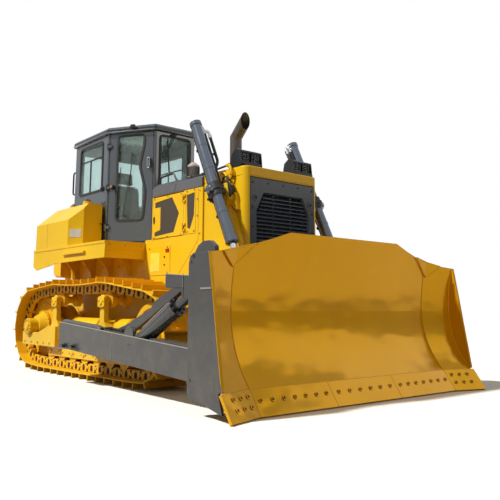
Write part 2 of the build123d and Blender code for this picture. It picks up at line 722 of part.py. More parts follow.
def grille_mask():
    x = NOSE_X[1] - MASK_THICK
    front = NOSE_X[1]
    mask = box((x, front), (-MASK_HALF + MASK_FIT, MASK_HALF - MASK_FIT),
               (MASK_Z[0] + MASK_FIT, MASK_Z[1] - MASK_FIT))
    mask = chamfer(mask.edges().group_by(Axis.X)[-1], 10)
    top, side = LOUVRE_TOP, LOUVRE_SIDE
    field = [(side[0], LOUVRE_LOW), (side[0], side[1]), (top[0], top[1])]
    opening = [(-y, z) for y, z in field] + [(y, z) for y, z in reversed(field)]
    mask -= plate_x(opening, x - 5, front + 5)
    rim = [e for e in mask.edges().group_by(Axis.X)[-1] if abs(e.center().Y) < side[0] + 1
           and LOUVRE_LOW - 1 < e.center().Z < top[1] + 1]
    mask = chamfer(rim, LOUVRE_BEVEL)
    count = int((top[1] - LOUVRE_LOW) / LOUVRE_PITCH)
    for i in range(count):
        z = LOUVRE_LOW + (i + 0.5) * LOUVRE_PITCH
        half = side[0]
        if z + LOUVRE_PITCH / 2 > side[1]:
            half -= (side[0] - top[0]) * (z + LOUVRE_PITCH / 2 - side[1]) / (top[1] - side[1])
        slat = [(x + 4, z + 16), (x + 4, z + 16 + LOUVRE_THICK), (front - 12, z - 2),
                (front - 12, z - 2 - LOUVRE_THICK)]
        mask += plate_y(slat, -half - 1, half + 1)
    for y in (-GRILLE_BAR_AT, GRILLE_BAR_AT):
        mask += box((x, x + 10), (y - 8, y + 8), (LOUVRE_LOW - 5, top[1] + 5))
    for y in (-BOSS[0], BOSS[0]):
        mask += rod_between((front - 5, y, BOSS[1]), (front + 6, y, BOSS[1]), BOSS_R)
        mask -= rod_between((front - 12, y, BOSS[1]), (front + 7, y, BOSS[1]), BOSS_R * 0.55)
    return mask


MASK_FIT = 3.0
LOUVRE_BEVEL = 18.0
GRILLE_BAR_AT = 135.0
BOSS = (436.0, 2128.0)   # lifting bosses, from the middle and height
BOSS_R = 38.0


# Deck

def fender():
    """Right-hand fender: deck plate, outer skirt, front face and gussets to the hull."""
    rear, front = FENDER_X
    outer = -FENDER_HALF
    deck = box((rear, front), (outer, -HULL_HALF), (DECK_Z - 30, DECK_Z))
    skirt = [(rear, 1500), (rear + 120, SKIRT_TAIL), (680, SKIRT_LOW - 10), (front, SKIRT_LOW),
             (front, DECK_Z - 30), (rear, DECK_Z - 30)]
    deck += plate_y(skirt, outer, outer + PLATE)
    deck += box((front - PLATE, front), (outer, -HULL_HALF), (SKIRT_LOW, DECK_Z - 30))
    deck += box((front - 5, front + BAND_PROUD), (outer, -HULL_HALF - 5), (FRONT_BAND_Z, DECK_Z))
    deck += box((rear, front), (outer - LIP_PROUD, outer + 5), (DECK_Z - 34, DECK_Z))
    for x in GUSSET_X:
        edge = [(-HULL_HALF, DECK_Z - 30), (outer + PLATE, DECK_Z - 30),
                (outer + PLATE, DECK_Z - 95), (-840, DECK_Z - 150), (-690, DECK_Z - 330),
                (-665, GUSSET_LOW), (-HULL_HALF, GUSSET_LOW)]
        deck += soft_x(edge, x, x + PLATE, 8)
    ledge = soft_y(rectangle(STEP_X, (DECK_Z - 130, DECK_Z - 98)), outer + 5, outer - STEP_OUT, 10)
    return deck + ledge


FRONT_BAND_Z = 1640.0    # lower edge of the raised band on the fender's front face
BAND_PROUD = 8.0
LIP_PROUD = 6.0
GUSSET_X = (180.0, 700.0, 1220.0, 1740.0)
GUSSET_LOW = 1330.0
STEP_X = (900.0, 1560.0)
STEP_OUT = 34.0


def side_tank():
    rear, front = TANK_X
    inner, brk = TANK_BREAK
    section = [(-TANK_IN, DECK_Z), (-FENDER_HALF, DECK_Z), (-FENDER_HALF, brk),
               (-inner, TANK_Z), (-TANK_IN, TANK_Z)]
    tank = plate_x(section, rear, front)
    cut = [(front + 5, -FENDER_HALF - 5), (front - TANK_CHAMFER, -FENDER_HALF - 5),
           (front - TANK_CHAMFER, -FENDER_HALF), (front, -FENDER_HALF + TANK_CHAMFER),
           (front + 5, -FENDER_HALF + TANK_CHAMFER)]
    tank -= plate_z(cut, DECK_Z - 5, TANK_Z + 5)
    tail = [(rear - 5, brk - 60), (rear, brk - 60), (rear + TANK_TAIL, TANK_Z),
            (rear + TANK_TAIL, TANK_Z + 5), (rear - 5, TANK_Z + 5)]
    tank -= plate_y(tail, -FENDER_HALF - 5, -TANK_IN + 5)
    tank = fillet(tank.edges().filter_by(Axis.Z).group_by(Axis.X)[0].sort_by(Axis.Y)[0], 50)
    seam = box((TANK_SEAM_X, TANK_SEAM_X + SEAM), (-FENDER_HALF - 5, -TANK_IN + 5),
               (DECK_Z - 5, TANK_Z + 5))
    tank -= seam & tank_skin(section)
    for x, r, high in TANK_CAPS:
        tank += rod_between((x, -TANK_CAP_Y, TANK_Z - 5), (x, -TANK_CAP_Y, TANK_Z + high), r)
    return tank


TANK_TAIL = 230.0
TANK_SEAM_X = 310.0
TANK_CAP_Y = 860.0
TANK_CAPS = ((430.0, 55.0, 42.0), (900.0, 70.0, 60.0))   # x, radius, height


def tank_skin(section):
    """The outermost few millimetres of the tank, in which its seams lie."""
    outer = Wire.make_polygon([(TANK_X[0], y, z) for y, z in section])
    ring = Solid.extrude(Face(outer), Vector(TANK_X[1] - TANK_X[0], 0, 0))
    core = plate_x([(-TANK_IN + 5, DECK_Z - 5), (-FENDER_HALF + SEAM, DECK_Z - 5),
                    (-FENDER_HALF + SEAM, TANK_BREAK[1] - SEAM / 2),
                    (-TANK_BREAK[0] + SEAM / 2, TANK_Z - SEAM), (-TANK_IN + 5, TANK_Z - SEAM)],
                   TANK_X[0] - 5, TANK_X[1] + 5)
    return ring - core


def rear_tank():
    tank = box(REAR_TANK_X, (-TANK_IN + 4, TANK_IN - 4), REAR_TANK_Z)
    tank = fillet(tank.edges().filter_by(Axis.Y).group_by(Axis.X)[0], 120)
    tank = fillet(tank.edges().filter_by(Axis.Z).group_by(Axis.X)[0], 45)
    tank -= box((HULL_REAR, 600), (-HULL_HALF - 1, HULL_HALF + 1), (0, DECK_Z))
    tank -= box((FENDER_X[0], 600), (-TANK_IN, TANK_IN), (0, DECK_Z))
    x, z = REAR_TANK_X[0], REAR_TANK_Z[1]
    tank += rod_between((x + 210, -430, z - 5), (x + 210, -430, z + 45), 60)
    return tank - soft_x(rectangle((-330, 330), (1560, 2120)), x - 5, x + SEAM, 30)


# Cab

def offset_plan(corners, inset):
    """Move the right-hand walls of the cab's plan inwards by inset."""
    face = []
    for (xa, wa), (xb, wb) in zip(corners, corners[1:]):
        size = hypot(xb - xa, wb - wa)
        nx, nw = (wb - wa) / size, -(xb - xa) / size
        face.append((xa + nx * inset, wa + nw * inset, xb - xa, wb - wa))
    moved = [(face[0][0] + inset, face[0][1] + face[0][3] / face[0][2] * inset)]
    for (xa, wa, da, ea), (xb, wb, db, eb) in zip(face, face[1:]):
        t = ((xb - xa) * eb - (wb - wa) * db) / (da * eb - ea * db)
        moved.append((xa + da * t, wa + ea * t))
    last = face[-1]
    x = corners[-1][0] - inset
    moved.append((x, last[1] + last[3] / last[2] * (x - last[0])))
    return moved


CAB_CORNERS = [CAB_REAR, CAB_PILLAR, CAB_FRONT]
DOOR_RUN = hypot(CAB_FRONT[0] - CAB_PILLAR[0], CAB_FRONT[1] - CAB_PILLAR[1])
DOOR_TURN = degrees(atan2(CAB_PILLAR[1] - CAB_FRONT[1], CAB_FRONT[0] - CAB_PILLAR[0]))
DOOR_EDGE = 26.0         # from the pillar's corner to the door
DOOR_SEAL = 6.0


def door_plane(n):
    """Right-hand door face: local x runs forward along the door, local y up.

    n is the distance outwards from the wall's outer face."""
    d = Vector(CAB_FRONT[0] - CAB_PILLAR[0], CAB_PILLAR[1] - CAB_FRONT[1], 0).normalized()
    out = Vector(d.Y, -d.X, 0)
    start = Vector(CAB_PILLAR[0], -CAB_PILLAR[1], 0) + out * n
    return Plane(start, x_dir=d, z_dir=out)


def soft_door(points, n0, n1, radius):
    """As in_door, with rounded corners."""
    return soft_plate(door_plane(n0), points, radius, n1 - n0)


def in_door(points, n0, n1):
    """A profile of (along, up) points on the door face, from n0 to n1 outwards."""
    frame = door_plane(n0)
    ring = [frame.from_local_coords(Vector(u, v, 0)) for u, v in points]
    return Solid.extrude(Face(Wire.make_polygon(ring)), frame.z_dir * (n1 - n0))


def cab_ring(corners, inset, z0, z1):
    outer = soft_plan(symmetric_plan(corners), PILLAR_ROUND, z0, z1)
    inner = soft_plan(symmetric_plan(offset_plan(corners, inset)), PILLAR_ROUND / 3, z0 - 1, z1 + 1)
    return outer - inner


PILLAR_ROUND = 36.0


def soft_plan(corners, radius, z0, z1):
    return soft_plate(Plane.XY.offset(z0), corners, radius, z1 - z0)


def door_outline(grow):
    return [(DOOR_EDGE - grow, CAB_DOOR_LOW - grow),
            (DOOR_RUN - DOOR_EDGE + grow, CAB_DOOR_LOW - grow),
            (DOOR_RUN - DOOR_EDGE + grow, CAB_DOOR_TOP + grow),
            (DOOR_EDGE - grow, CAB_DOOR_TOP + grow)]


SIDE_WINDOW = (310.0, 1050.0, 2590.0, CAB_TOP - 85)
FRONT_WINDOW = (258.0, 2560.0, CAB_TOP - 70)
REAR_WINDOW = (560.0, 2560.0, CAB_TOP - 100)
WINDOW_ROUND = 55.0
DOOR_GLASS_LOW = CAB_DOOR_LOW + 310
DOOR_GLASS_TOP = CAB_DOOR_TOP - 45
DOOR_WAIST = (DOOR_GLASS_LOW + DOOR_GLASS_TOP) / 2
DOOR_GLASS = [(160, DOOR_GLASS_LOW), (585, DOOR_GLASS_LOW), (620, DOOR_WAIST - 200),
              (520, DOOR_WAIST + 160), (590, DOOR_GLASS_TOP - 120), (585, DOOR_GLASS_TOP),
              (160, DOOR_GLASS_TOP)]
DOOR_GLASS_ROUND = 58.0


def cab_shell():
    low, high = DECK_Z, CAB_TOP
    shell = cab_ring(CAB_CORNERS, CAB_WALL, low, high)
    shell += plate_z(symmetric_plan(offset_plan(CAB_CORNERS, CAB_WALL - 1)), low, low + CAB_FLOOR)
    for window in side_windows(0):
        shell -= window
    w, z0, z1 = FRONT_WINDOW
    shell -= soft_x(rectangle((-w, w), (z0, z1)), CAB_FRONT[0] - 100, CAB_FRONT[0] + 10,
                    WINDOW_ROUND)
    w, z0, z1 = REAR_WINDOW
    shell -= soft_x(rectangle((-w, w), (z0, z1)), CAB_REAR[0] - 10, CAB_REAR[0] + 100, WINDOW_ROUND)
    opening = in_door(door_outline(DOOR_SEAL), -CAB_WALL - 30, 30)
    shell -= opening
    shell -= mirrored(opening)
    for z in DOOR_HINGES:
        knuckle = door_knuckle(z, True)
        shell += knuckle
        shell += [mirrored(k) for k in knuckle]
    return shell


CAB_FLOOR = 40.0


def side_windows(inset, depth=(600, 800)):
    x0, x1, z0, z1 = SIDE_WINDOW
    ring = rectangle((x0 + inset, x1 - inset), (z0 + inset, z1 - inset))
    right = soft_y(ring, -depth[1], -depth[0], WINDOW_ROUND)
    return [right, mirrored(right)]


def cab_roof():
    over = offset_plan(CAB_CORNERS, -ROOF_OVER)
    roof = soft_plan(symmetric_plan(over), PILLAR_ROUND, CAB_TOP, CAB_TOP + ROOF_THICK)
    roof = chamfer(roof.faces().sort_by(Axis.Z)[-1].edges(), ROOF_THICK * 0.4)
    well = offset_plan(CAB_CORNERS, CAB_WALL)
    return roof - plate_z(symmetric_plan(well), CAB_TOP - 1, CAB_TOP + ROOF_THICK - 30)


def cab_glass():
    fit = FACE_GAP
    x0, x1 = SIDE_WINDOW[:2]
    slope = (CAB_PILLAR[1] - CAB_REAR[1]) / (CAB_PILLAR[0] - CAB_REAR[0])
    middle = CAB_REAR[1] + slope * ((x0 + x1) / 2 - CAB_REAR[0]) - CAB_WALL / 2
    sides = side_windows(fit, (middle - GLASS / 2, middle + GLASS / 2))
    w, z0, z1 = FRONT_WINDOW
    at = CAB_FRONT[0] - CAB_WALL / 2
    front = soft_x(rectangle((-w + fit, w - fit), (z0 + fit, z1 - fit)), at - GLASS / 2,
                   at + GLASS / 2, WINDOW_ROUND)
    w, z0, z1 = REAR_WINDOW
    at = CAB_REAR[0] + CAB_WALL / 2
    rear = soft_x(rectangle((-w + fit, w - fit), (z0 + fit, z1 - fit)), at - GLASS / 2,
                  at + GLASS / 2, WINDOW_ROUND)
    return sides + [front, rear]


HINGE_OUT = 20.0
HINGE_R = 12.0
DOOR_HINGES = (CAB_DOOR_LOW + 214, (CAB_DOOR_LOW + CAB_DOOR_TOP) / 2, CAB_DOOR_TOP - 185)


def door_knuckle(z, fixed):
    """Hinge knuckles at height z: the pillar's two, or the door's one between them."""
    frame = door_plane(HINGE_OUT)
    spans = [(z - 48, z - 20), (z + 20, z + 48)] if fixed else [(z - 20 + FACE_GAP, z + 20 - FACE_GAP)]
    made = []
    for z0, z1 in spans:
        base = frame.origin
        made.append(rod_between((base.X, base.Y, z0), (base.X, base.Y, z1), HINGE_R))
        if fixed:
            made.append(in_door([(-6, z0), (18, z0), (18, z1), (-6, z1)], 0, HINGE_OUT))
        else:
            made.append(in_door([(0, z0), (70, z0), (70, z1), (0, z1)], 10, HINGE_OUT + 4))
            made.append(in_door([(40, z0), (70, z0), (70, z1), (40, z1)], 0, HINGE_OUT))
    return made


def cab_door():
    door = in_door(door_outline(0), -CAB_WALL + 5, 0)
    door -= soft_door(DOOR_GLASS, -CAB_WALL - 5, 5, DOOR_GLASS_ROUND)
    for z in DOOR_HINGES:
        door += door_knuckle(z, False)
    u, z0, z1 = DOOR_HANDLE
    door += soft_door(rectangle((u - 22, u + 22), (z0, z1)), -5, HANDLE_OUT, 20)
    return door


DOOR_HANDLE = (DOOR_RUN - 82, DOOR_WAIST + 110, DOOR_WAIST + 270)   # along the door, low, high
HANDLE_OUT = 42.0


def door_glass():
    """The door's pane; its corners stand FACE_GAP inside the opening."""
    middle = DOOR_RUN / 2
    inner = [(u + FACE_GAP if u < middle else u - FACE_GAP,
              v + FACE_GAP if v < DOOR_WAIST else v - FACE_GAP) for u, v in DOOR_GLASS]
    return soft_door(inner, -CAB_WALL / 2 - GLASS / 2, -CAB_WALL / 2 + GLASS / 2, DOOR_GLASS_ROUND)


def operator_seat():
    floor = DECK_Z + CAB_FLOOR
    rear, front, half = SEAT_X[0], SEAT_X[1], SEAT_HALF
    seat = box((rear + 90, front - 120), (-180, 180), (floor, floor + 260))
    cushion = box((rear, front), (-half, half), (floor + 260, floor + 420))
    seat += fillet(cushion.edges().filter_by(Axis.Y), 40)
    seat += soft_y([(rear, floor + 420), (rear + 130, floor + 420), (rear + 50, floor + 1050),
                    (rear - 70, floor + 1050)], -half + 10, half - 10, 30)
    seat += soft_y([(rear - 70, floor + 1040), (rear + 40, floor + 1040), (rear + 20, floor + 1240),
                    (rear - 80, floor + 1240)], -140, 140, 35)
    for side in (-1, 1):
        rest = soft_y(rectangle((rear + 40, rear + 420), (floor + 600, floor + 650)),
                      side * (half + 5), side * (half + 75), 20)
        post = box((rear + 40, rear + 100), sorted((side * (half - 20), side * (half + 70))),
                   (floor + 400, floor + 610))
        seat += [rest, post]
    return seat


SEAT_X = (470.0, 980.0)
SEAT_HALF = 250.0


def control_console():
    floor = DECK_Z + CAB_FLOOR
    x1 = CAB_FRONT[0] - CAB_WALL
    dash = soft_y([(x1 - 260, floor), (x1, floor), (x1, floor + 760), (x1 - 120, floor + 780),
                   (x1 - 260, floor + 600)], -DASH_HALF, DASH_HALF, 18)
    for y in (-DASH_HALF + 70, DASH_HALF - 70):
        dash += rod_between((x1 - 240, y, floor + 560), (x1 - 360, y, floor + 800), 11)
        dash += rod_between((x1 - 358, y, floor + 790), (x1 - 374, y, floor + 826), 22)
    return dash


DASH_HALF = 240.0


# Lamps, exhaust and air intake

def work_lamps():
    """A housing with two lamps on each side of the guard's top."""
    x, z = LAMP_AT, NOSE_Z[1]
    housing = [(x - 130, z), (x + 60, z), (x + 60, z + 60), (x + 45, z + 190), (x - 20, z + 215),
               (x - 95, z + 165)]
    lamp = soft_y(housing, LAMP_Y[0], LAMP_Y[1], 10)
    lamp -= soft_y([(x - 5, z + 60), (x + 70, z + 60), (x + 60, z + 170), (x - 5, z + 170)],
                   LAMP_Y[0] + 12, LAMP_Y[1] - 12, 5)
    for y in LAMP_CENTRES:
        lamp += soft_x(rectangle((y - 66, y + 66), (z + 66, z + 164)), x - 10, x + 38, 14)
        lamp -= soft_x(rectangle((y - 56, y + 56), (z + 76, z + 154)), x + 30, x + 39, 10)
    lamp += box((x + 40, x + 105), (LAMP_Y[0] + 40, LAMP_Y[1] - 40), (z, z + 34))
    return both(lamp)


LAMP_AT = 3950.0
LAMP_Y = (-580.0, -250.0)
LAMP_CENTRES = (-495.0, -335.0)


EXHAUST_X = 3230.0
EXHAUST_R = 76.0
EXHAUST_RISE = 545.0     # from the hood up to the bend
EXHAUST_WALL = 4.0
EXHAUST_TIP = 270.0
EXHAUST_CUT = (160.0, 195.0)     # the slanted mouth, forward of the stack


def exhaust_stack():
    """A straight stack with a mitred 45 degree bend, open at its slanted tip."""
    low, bend = HOOD_Z, HOOD_Z + EXHAUST_RISE
    pipe = exhaust_run(EXHAUST_R, low, bend)
    pipe -= exhaust_run(EXHAUST_R - EXHAUST_WALL, low + 200, bend)
    low_cut, high_cut = EXHAUST_CUT
    tip = plate_y([(EXHAUST_X + low_cut, bend - 300), (EXHAUST_X + 600, bend - 300),
                   (EXHAUST_X + 600, bend + 400), (EXHAUST_X + high_cut, bend + 400)], -200, 200)
    pipe -= tip
    pipe += rod_between((EXHAUST_X, 0, low), (EXHAUST_X, 0, low + 30), EXHAUST_R + 26)
    return pipe


def exhaust_run(radius, low, bend):
    reach = radius * tan(pi / 8) * 2
    lower = rod_between((EXHAUST_X, 0, low), (EXHAUST_X, 0, bend + reach), radius)
    upper = rod_between((EXHAUST_X - reach, 0, bend - reach),
                        (EXHAUST_X + EXHAUST_TIP, 0, bend + EXHAUST_TIP), radius)
    far = 900.0
    slope = tan(pi / 8)
    above = plate_y([(EXHAUST_X - far, bend + far * slope), (EXHAUST_X + far, bend - far * slope),
                     (EXHAUST_X + far, bend + far), (EXHAUST_X - far, bend + far)], -200, 200)
    return (lower - above) + (upper & above)


def air_precleaner():
    x, y = PRECLEANER
    low = HOOD_Z
    stack = rod_between((x, y, low), (x, y, low + 60), 62)
    stack += rod_between((x, y, low + 60), (x, y, low + 235), 80)
    return stack + Solid.make_cone(80, 30, 45, Plane((x, y, low + 235)))


PRECLEANER = (2660.0, -250.0)


def handrails():
    """Grab rails on the cab's rear corners, and a rail on each side of the cowl."""
    x, y = CAB_REAR[0], -CAB_REAR[1] + 40
    low, high = 2660.0, 3010.0
    out = 120.0
    grab = bent_rod([(x, y, low), (x - out, y, low), (x - out, y, high), (x, y, high)], 13)
    y, z = -CAB_FRONT[1] + 30, HOOD_Z - 90
    rear, front = CAB_FRONT[0] + 60, HOOD_X[0] - 20
    rail = bent_rod([(rear, y, z), (rear, y, z + 150), (front, y, z + 150), (front, y, z)],
                    12)
    return both(grab) + both(rail)


def drawbar():
    """Rear clevis: two lugs with one vertical pin bore, on a bolted foot."""
    rear = TUB_X[0]
    plan = [(rear, -120), (rear, 120), (rear - 150, 100), (rear - 230, 60), (rear - 230, -60),
            (rear - 150, -100)]
    bar = box((rear - 60, rear), (-200, 200), (440, 760))
    for low, high in DRAWBAR_LUGS:
        bar += soft_plan(plan, 40, low, high)
    x = rear - DRAWBAR_PIN_AT
    return bar - rod_between((x, 0, 400), (x, 0, 740), DRAWBAR_PIN_R)


DRAWBAR_LUGS = ((440.0, 520.0), (620.0, 700.0))
DRAWBAR_PIN_AT = 150.0
DRAWBAR_PIN_R = 35.0


# Blade

def board_lower_radius():
    """Radius of the lower arc through its foot and its rearmost point."""
    dx = BOARD_LOW[0] - BOARD_BACK_X
    dz = BOARD_BACK_Z - BOARD_LOW[1]
    return (dx * dx + dz * dz) / (2 * dx)


BOARD_LOWER_R = board_lower_radius()


def board_front(z, back=0.0):
    """x of the moldboard's front at height z, or of a surface behind it."""
    r = (BOARD_UPPER_R if z > BOARD_BACK_Z else BOARD_LOWER_R)
    centre = BOARD_BACK_X + r
    return centre - ((r + back) ** 2 - (z - BOARD_BACK_Z) ** 2) ** 0.5


def board_levels():
    """Five heights up the moldboard, through which its two arcs run."""
    low, deep, top = BOARD_LOW[1], BOARD_BACK_Z, BOARD_TOP
    return low, (low + deep) / 2, deep, (deep + top) / 2, top


def board_profile(front=0.0, back=None):
    """Closed section of the moldboard plate, or of a layer on it, in x and z."""
    back = BOARD_THICK if back is None else back
    f, b = [[Vector(board_front(z, depth), 0, z) for z in board_levels()]
            for depth in (front, back)]
    edges = [ThreePointArc(f[0], f[1], f[2]), ThreePointArc(f[2], f[3], f[4]), Line(f[4], b[4]),
             ThreePointArc(b[4], b[3], b[2]), ThreePointArc(b[2], b[1], b[0]), Line(b[0], f[0])]
    return Face(Wire(edges))


def swept(face, span):
    """A section carried along the straight middle and out along both swept wings."""
    sweep = tan(radians(WING_SWEEP))
    solid = Solid.extrude(face.moved(Location((0, -WING_FROM, 0))), Vector(0, 2 * WING_FROM, 0))
    for side in (-1, 1):
        root = face.moved(Location((0, side * WING_FROM, 0)))
        solid += Solid.extrude(root, Vector(span * sweep, side * span, 0))
    return solid


def blade_moldboard():
    board = swept(board_profile(), WING_TO - WING_FROM - SIDE_PLATE)
    crown = [(-WING_TO, 0), (WING_TO, 0), (WING_TO, CORNER_Z), (WING_FROM, SHOULDER_Z),
             (BOARD_CROWN_HALF, BOARD_TOP), (-BOARD_CROWN_HALF, BOARD_TOP),
             (-WING_FROM, SHOULDER_Z), (-WING_TO, CORNER_Z)]
    board = board & plate_x(crown, BACK_X - 200, BLADE_FAR)
    skin = swept(board_profile(-CORNER_SKIN, 3.0), WING_TO - WING_FROM - SIDE_PLATE)
    patch = plate_x(CORNER_PATCH, BACK_X, BLADE_FAR)
    return board + (skin & patch) + (skin & mirrored(patch))


BLADE_FAR = EDGE_TIP[0] + 700
CORNER_SKIN = 12.0       # plate welded over the bend at each upper corner
CORNER_PATCH = [(-1630, CORNER_Z + 4), (-1447, SHOULDER_Z - 6), (-1205, SHOULDER_Z + 92),
                (-1461, SHOULDER_Z - 117)]


SIDE_OUTLINE = [(4820, 200), (4850, 140), (5040, 120), (5300, 60), (5250, 226), (5296, 240),
                (5112, CORNER_Z), (4890, CORNER_Z), (4840, CORNER_Z - 25), (4820, CORNER_Z - 90)]


def blade_frame():
    """Side plates, box beams and ribs behind the moldboard, with the lift ears."""
    half = WING_TO - SIDE_PLATE
    rib_y = WING_FROM + 120
    low, high = FRAME_LOW, FRAME_HIGH
    frame = box((BACK_X, BLADE_FAR), (-rib_y - 30, rib_y + 30), low)
    frame += box((BACK_X, BLADE_FAR), (-rib_y - 30, rib_y + 30), high)
    for y in (-rib_y, -1060, -LIFT_Y + 160, -300, 300, LIFT_Y - 160, 1060, rib_y):
        frame += box((BACK_X, BLADE_FAR), (y - 15, y + 15), (low[0], high[1]))
    for span in ((-half, -WING_FROM - 100), (WING_FROM + 100, half)):
        frame += box((BACK_X, BLADE_FAR), span, (low[0] + 50, low[1] - 20))
    frame -= front_of_back()
    seat = blade_ledge()
    frame += [seat, mirrored(seat)]
    for side in (-1, 1):
        frame += plate_y(SIDE_OUTLINE, side * half, side * WING_TO)
        for ear in (-1, 1):
            near = side * LIFT_Y + ear * (EYE_HALF + EAR_GAP)
            far = near + ear * EAR_THICK
            x, z = EYE
            frame += plate_y([(x - 55, z - 60), (BACK_X + 30, z - 170), (BACK_X + 30, z + 190),
                              (x - 20, z + 70), (x - 65, z + 30)], near, far)
    return frame


FRAME_LOW = (250.0, 560.0)       # box beam along the blade's foot
FRAME_HIGH = (1000.0, 1250.0)    # box beam behind its deepest part
LEDGE_X = (4195.0, BACK_X)
LEDGE_Z = (1093.0, 1226.0)
LEDGE_IN = ARM_IN
LEDGE_OUT = 1675.0
LUG_Y = (-1545.0, -1500.0)
LUG = [(4480, LEDGE_Z[1] - 10), (4800, LEDGE_Z[1] - 10), (4800, 1470), (4720, 1525),
       (4620, 1525), (4545, 1490), (4470, 1400)]


def blade_ledge():
    """Box on the blade's back over the arm: it takes the tilt link and the raised lug."""
    x0, x1 = LEDGE_X
    ledge = soft_y([(x0, LEDGE_Z[0]), (x1, LEDGE_Z[0]), (x1, LEDGE_Z[1] - 41),
                    (x0, LEDGE_Z[1])], -LEDGE_OUT, -LEDGE_IN, 6)
    x, z = TILT_EYE
    ledge += soft_y([(x - 110, LEDGE_Z[0] + 20), (x + 150, LEDGE_Z[0] + 20), (x + 90, z - 95),
                     (x - 50, z - 95)], -LEDGE_OUT, -LEDGE_IN - 10, 30)
    seam_x = (x0 + x1) / 2
    ledge -= box((seam_x, seam_x + SEAM), (-LEDGE_OUT - 5, -LEDGE_OUT + SEAM), (0, 2000))
    ledge -= box((x - 230, x + 90), tilt_slot(), (0, LEDGE_Z[1] - 60))
    return ledge + soft_y(LUG, LUG_Y[0], LUG_Y[1], 25)


def front_of_back():
    """Everything in front of the moldboard's back, to trim the frame to it."""
    low = 100
    far = BLADE_FAR + 600
    b = [Vector(board_front(z, BOARD_THICK + FACE_GAP), 0, z) for z in board_levels()]
    edges = [ThreePointArc(b[0], b[1], b[2]), ThreePointArc(b[2], b[3], b[4]),
             Line(b[4], (far, 0, BOARD_TOP)), Line((far, 0, BOARD_TOP), (far, 0, low)),
             Line((far, 0, low), (b[0].X, 0, low)), Line((b[0].X, 0, low), b[0])]
    return swept(Face(Wire(edges)), WING_TO - WING_FROM + 50)


def cutting_edge():
    """Three edge segments along the straight middle of the blade."""
    x0, z0 = EDGE_TIP
    x1, z1 = BOARD_LOW
    size = hypot(x1 - x0, z1 - z0)
    nx, nz = (z1 - z0) / size, (x0 - x1) / size
    t = EDGE_THICK
    section = [(x0, z0), (x1, z1 - 1), (x1 - nx * t, z1 - 1 - nz * t), (x0 - nx * t, z0 - nz * t)]
    low = min(z for _, z in section)
    section = [(x, z - low + z0) for x, z in section]
    top = max(z for _, z in section)
    section = [(x, z - max(0, top - z1 + FACE_GAP)) for x, z in section]
    return section


def edge_segments():
    section = cutting_edge()
    third = 2 * WING_FROM / 3
    return [plate_y(section, -WING_FROM + i * third + 1.5, -WING_FROM + (i + 1) * third - 1.5)
            for i in range(3)]


def end_bits():
    """A bit at each end of the edge; it flares past the side plate."""
    section = cutting_edge()
    sweep = tan(radians(WING_SWEEP))
    span = BIT_TO - WING_FROM - 1.5
    bits = []
    for side in (-1, 1):
        y = side * (WING_FROM + 1.5)
        wire = Wire.make_polygon([(p[0], y, p[1]) for p in section])
        bits.append(Solid.extrude(Face(wire), Vector(span * sweep, side * span, 0)))
    return bits


BIT_TO = WING_TO + 12


def push_arm():
    """Right-hand box arm from its trunnion to the blade's back, with the strut plate."""
    rear, front = ARM_X
    side = [(rear, ARM_REAR_Z[0] + 40), (rear + 30, ARM_REAR_Z[0]), (TRUNNION_X, ARM_REAR_Z[0]),
            (front, ARM_FRONT_Z[0]), (front, ARM_FRONT_Z[1]), (TRUNNION_X, ARM_REAR_Z[1]),
            (rear + 40, ARM_REAR_Z[1] + 9), (rear, ARM_REAR_Z[1] - 12)]
    arm = plate_y(side, -ARM_OUT, -ARM_IN)
    arm += bar_y(TRUNNION_X, TRUNNION_Z, -ARM_IN - 5, -ARM_IN + ARM_CAP, TRUNNION_R + 45)
    arm += plate_y(STRUT, -STRUT_OUT, -ARM_IN)
    x, z = TILT_FOOT
    slot = tilt_slot()
    arm -= box((x - 100, x + 320), slot, (z - TILT_R - 9, z + 400))
    top = arm_top(x)
    lug = [(x - 130, top - 60), (x + 70, top - 60), (x + 60, top + 60), (x + 10, top + 105),
           (x - 50, top + 105), (x - 120, top + 30)]
    for y0, y1 in ((slot[0] - LUG_THICK, slot[0]), (slot[1], slot[1] + LUG_THICK)):
        arm += soft_y(lug, y0, y1, 22)
    blind = -ARM_OUT + BLIND_WALL
    return arm - bar_y(TRUNNION_X, TRUNNION_Z, blind, -ARM_IN + 30, TRUNNION_R + PIN_FIT)


ARM_CAP = 18.0           # the trunnion's collar stands in from the arm by this
BLIND_WALL = 30.0        # the arm's outer plate closes the trunnion's bore
LUG_THICK = 14.0


STRUT_OUT = 1460.0
STRUT = [(2480, 560), (2990, 560), (3326, 677), (4007, 1001), (4195 - 0.3, 1093),
         (4195 - 0.3, 1190), (4000, 1103), (3700, 980), (3600, 896), (3170, 735), (2920, 665),
         (2480, 618)]
TILT_FOOT = (3520.0, 528.0)      # pins of the tilt cylinder and of the brace
TILT_EYE = (4540.0, 1085.0)
TILT_EYE_R = 72.0
TILT_R = 83.0
BRACE_R = 52.0


def tilt_slot():
    """The gap across the arm and the ledge in which a tilt link lies."""
    return -TILT_Y - TILT_R - 3, -TILT_Y + TILT_R + 3


TILT_Y = 1552.0


def arm_top(x):
    """Height of the arm's upper face at x."""
    run = ARM_X[1] - TRUNNION_X
    return ARM_REAR_Z[1] + (ARM_FRONT_Z[1] - ARM_REAR_Z[1]) * (x - TRUNNION_X) / run


def tilt_point(share):
    """A point on the line between the two pins of a tilt link."""
    x0, z0 = TILT_FOOT
    x1, z1 = TILT_EYE
    return (x0 + (x1 - x0) * share, -TILT_Y, z0 + (z1 - z0) * share)


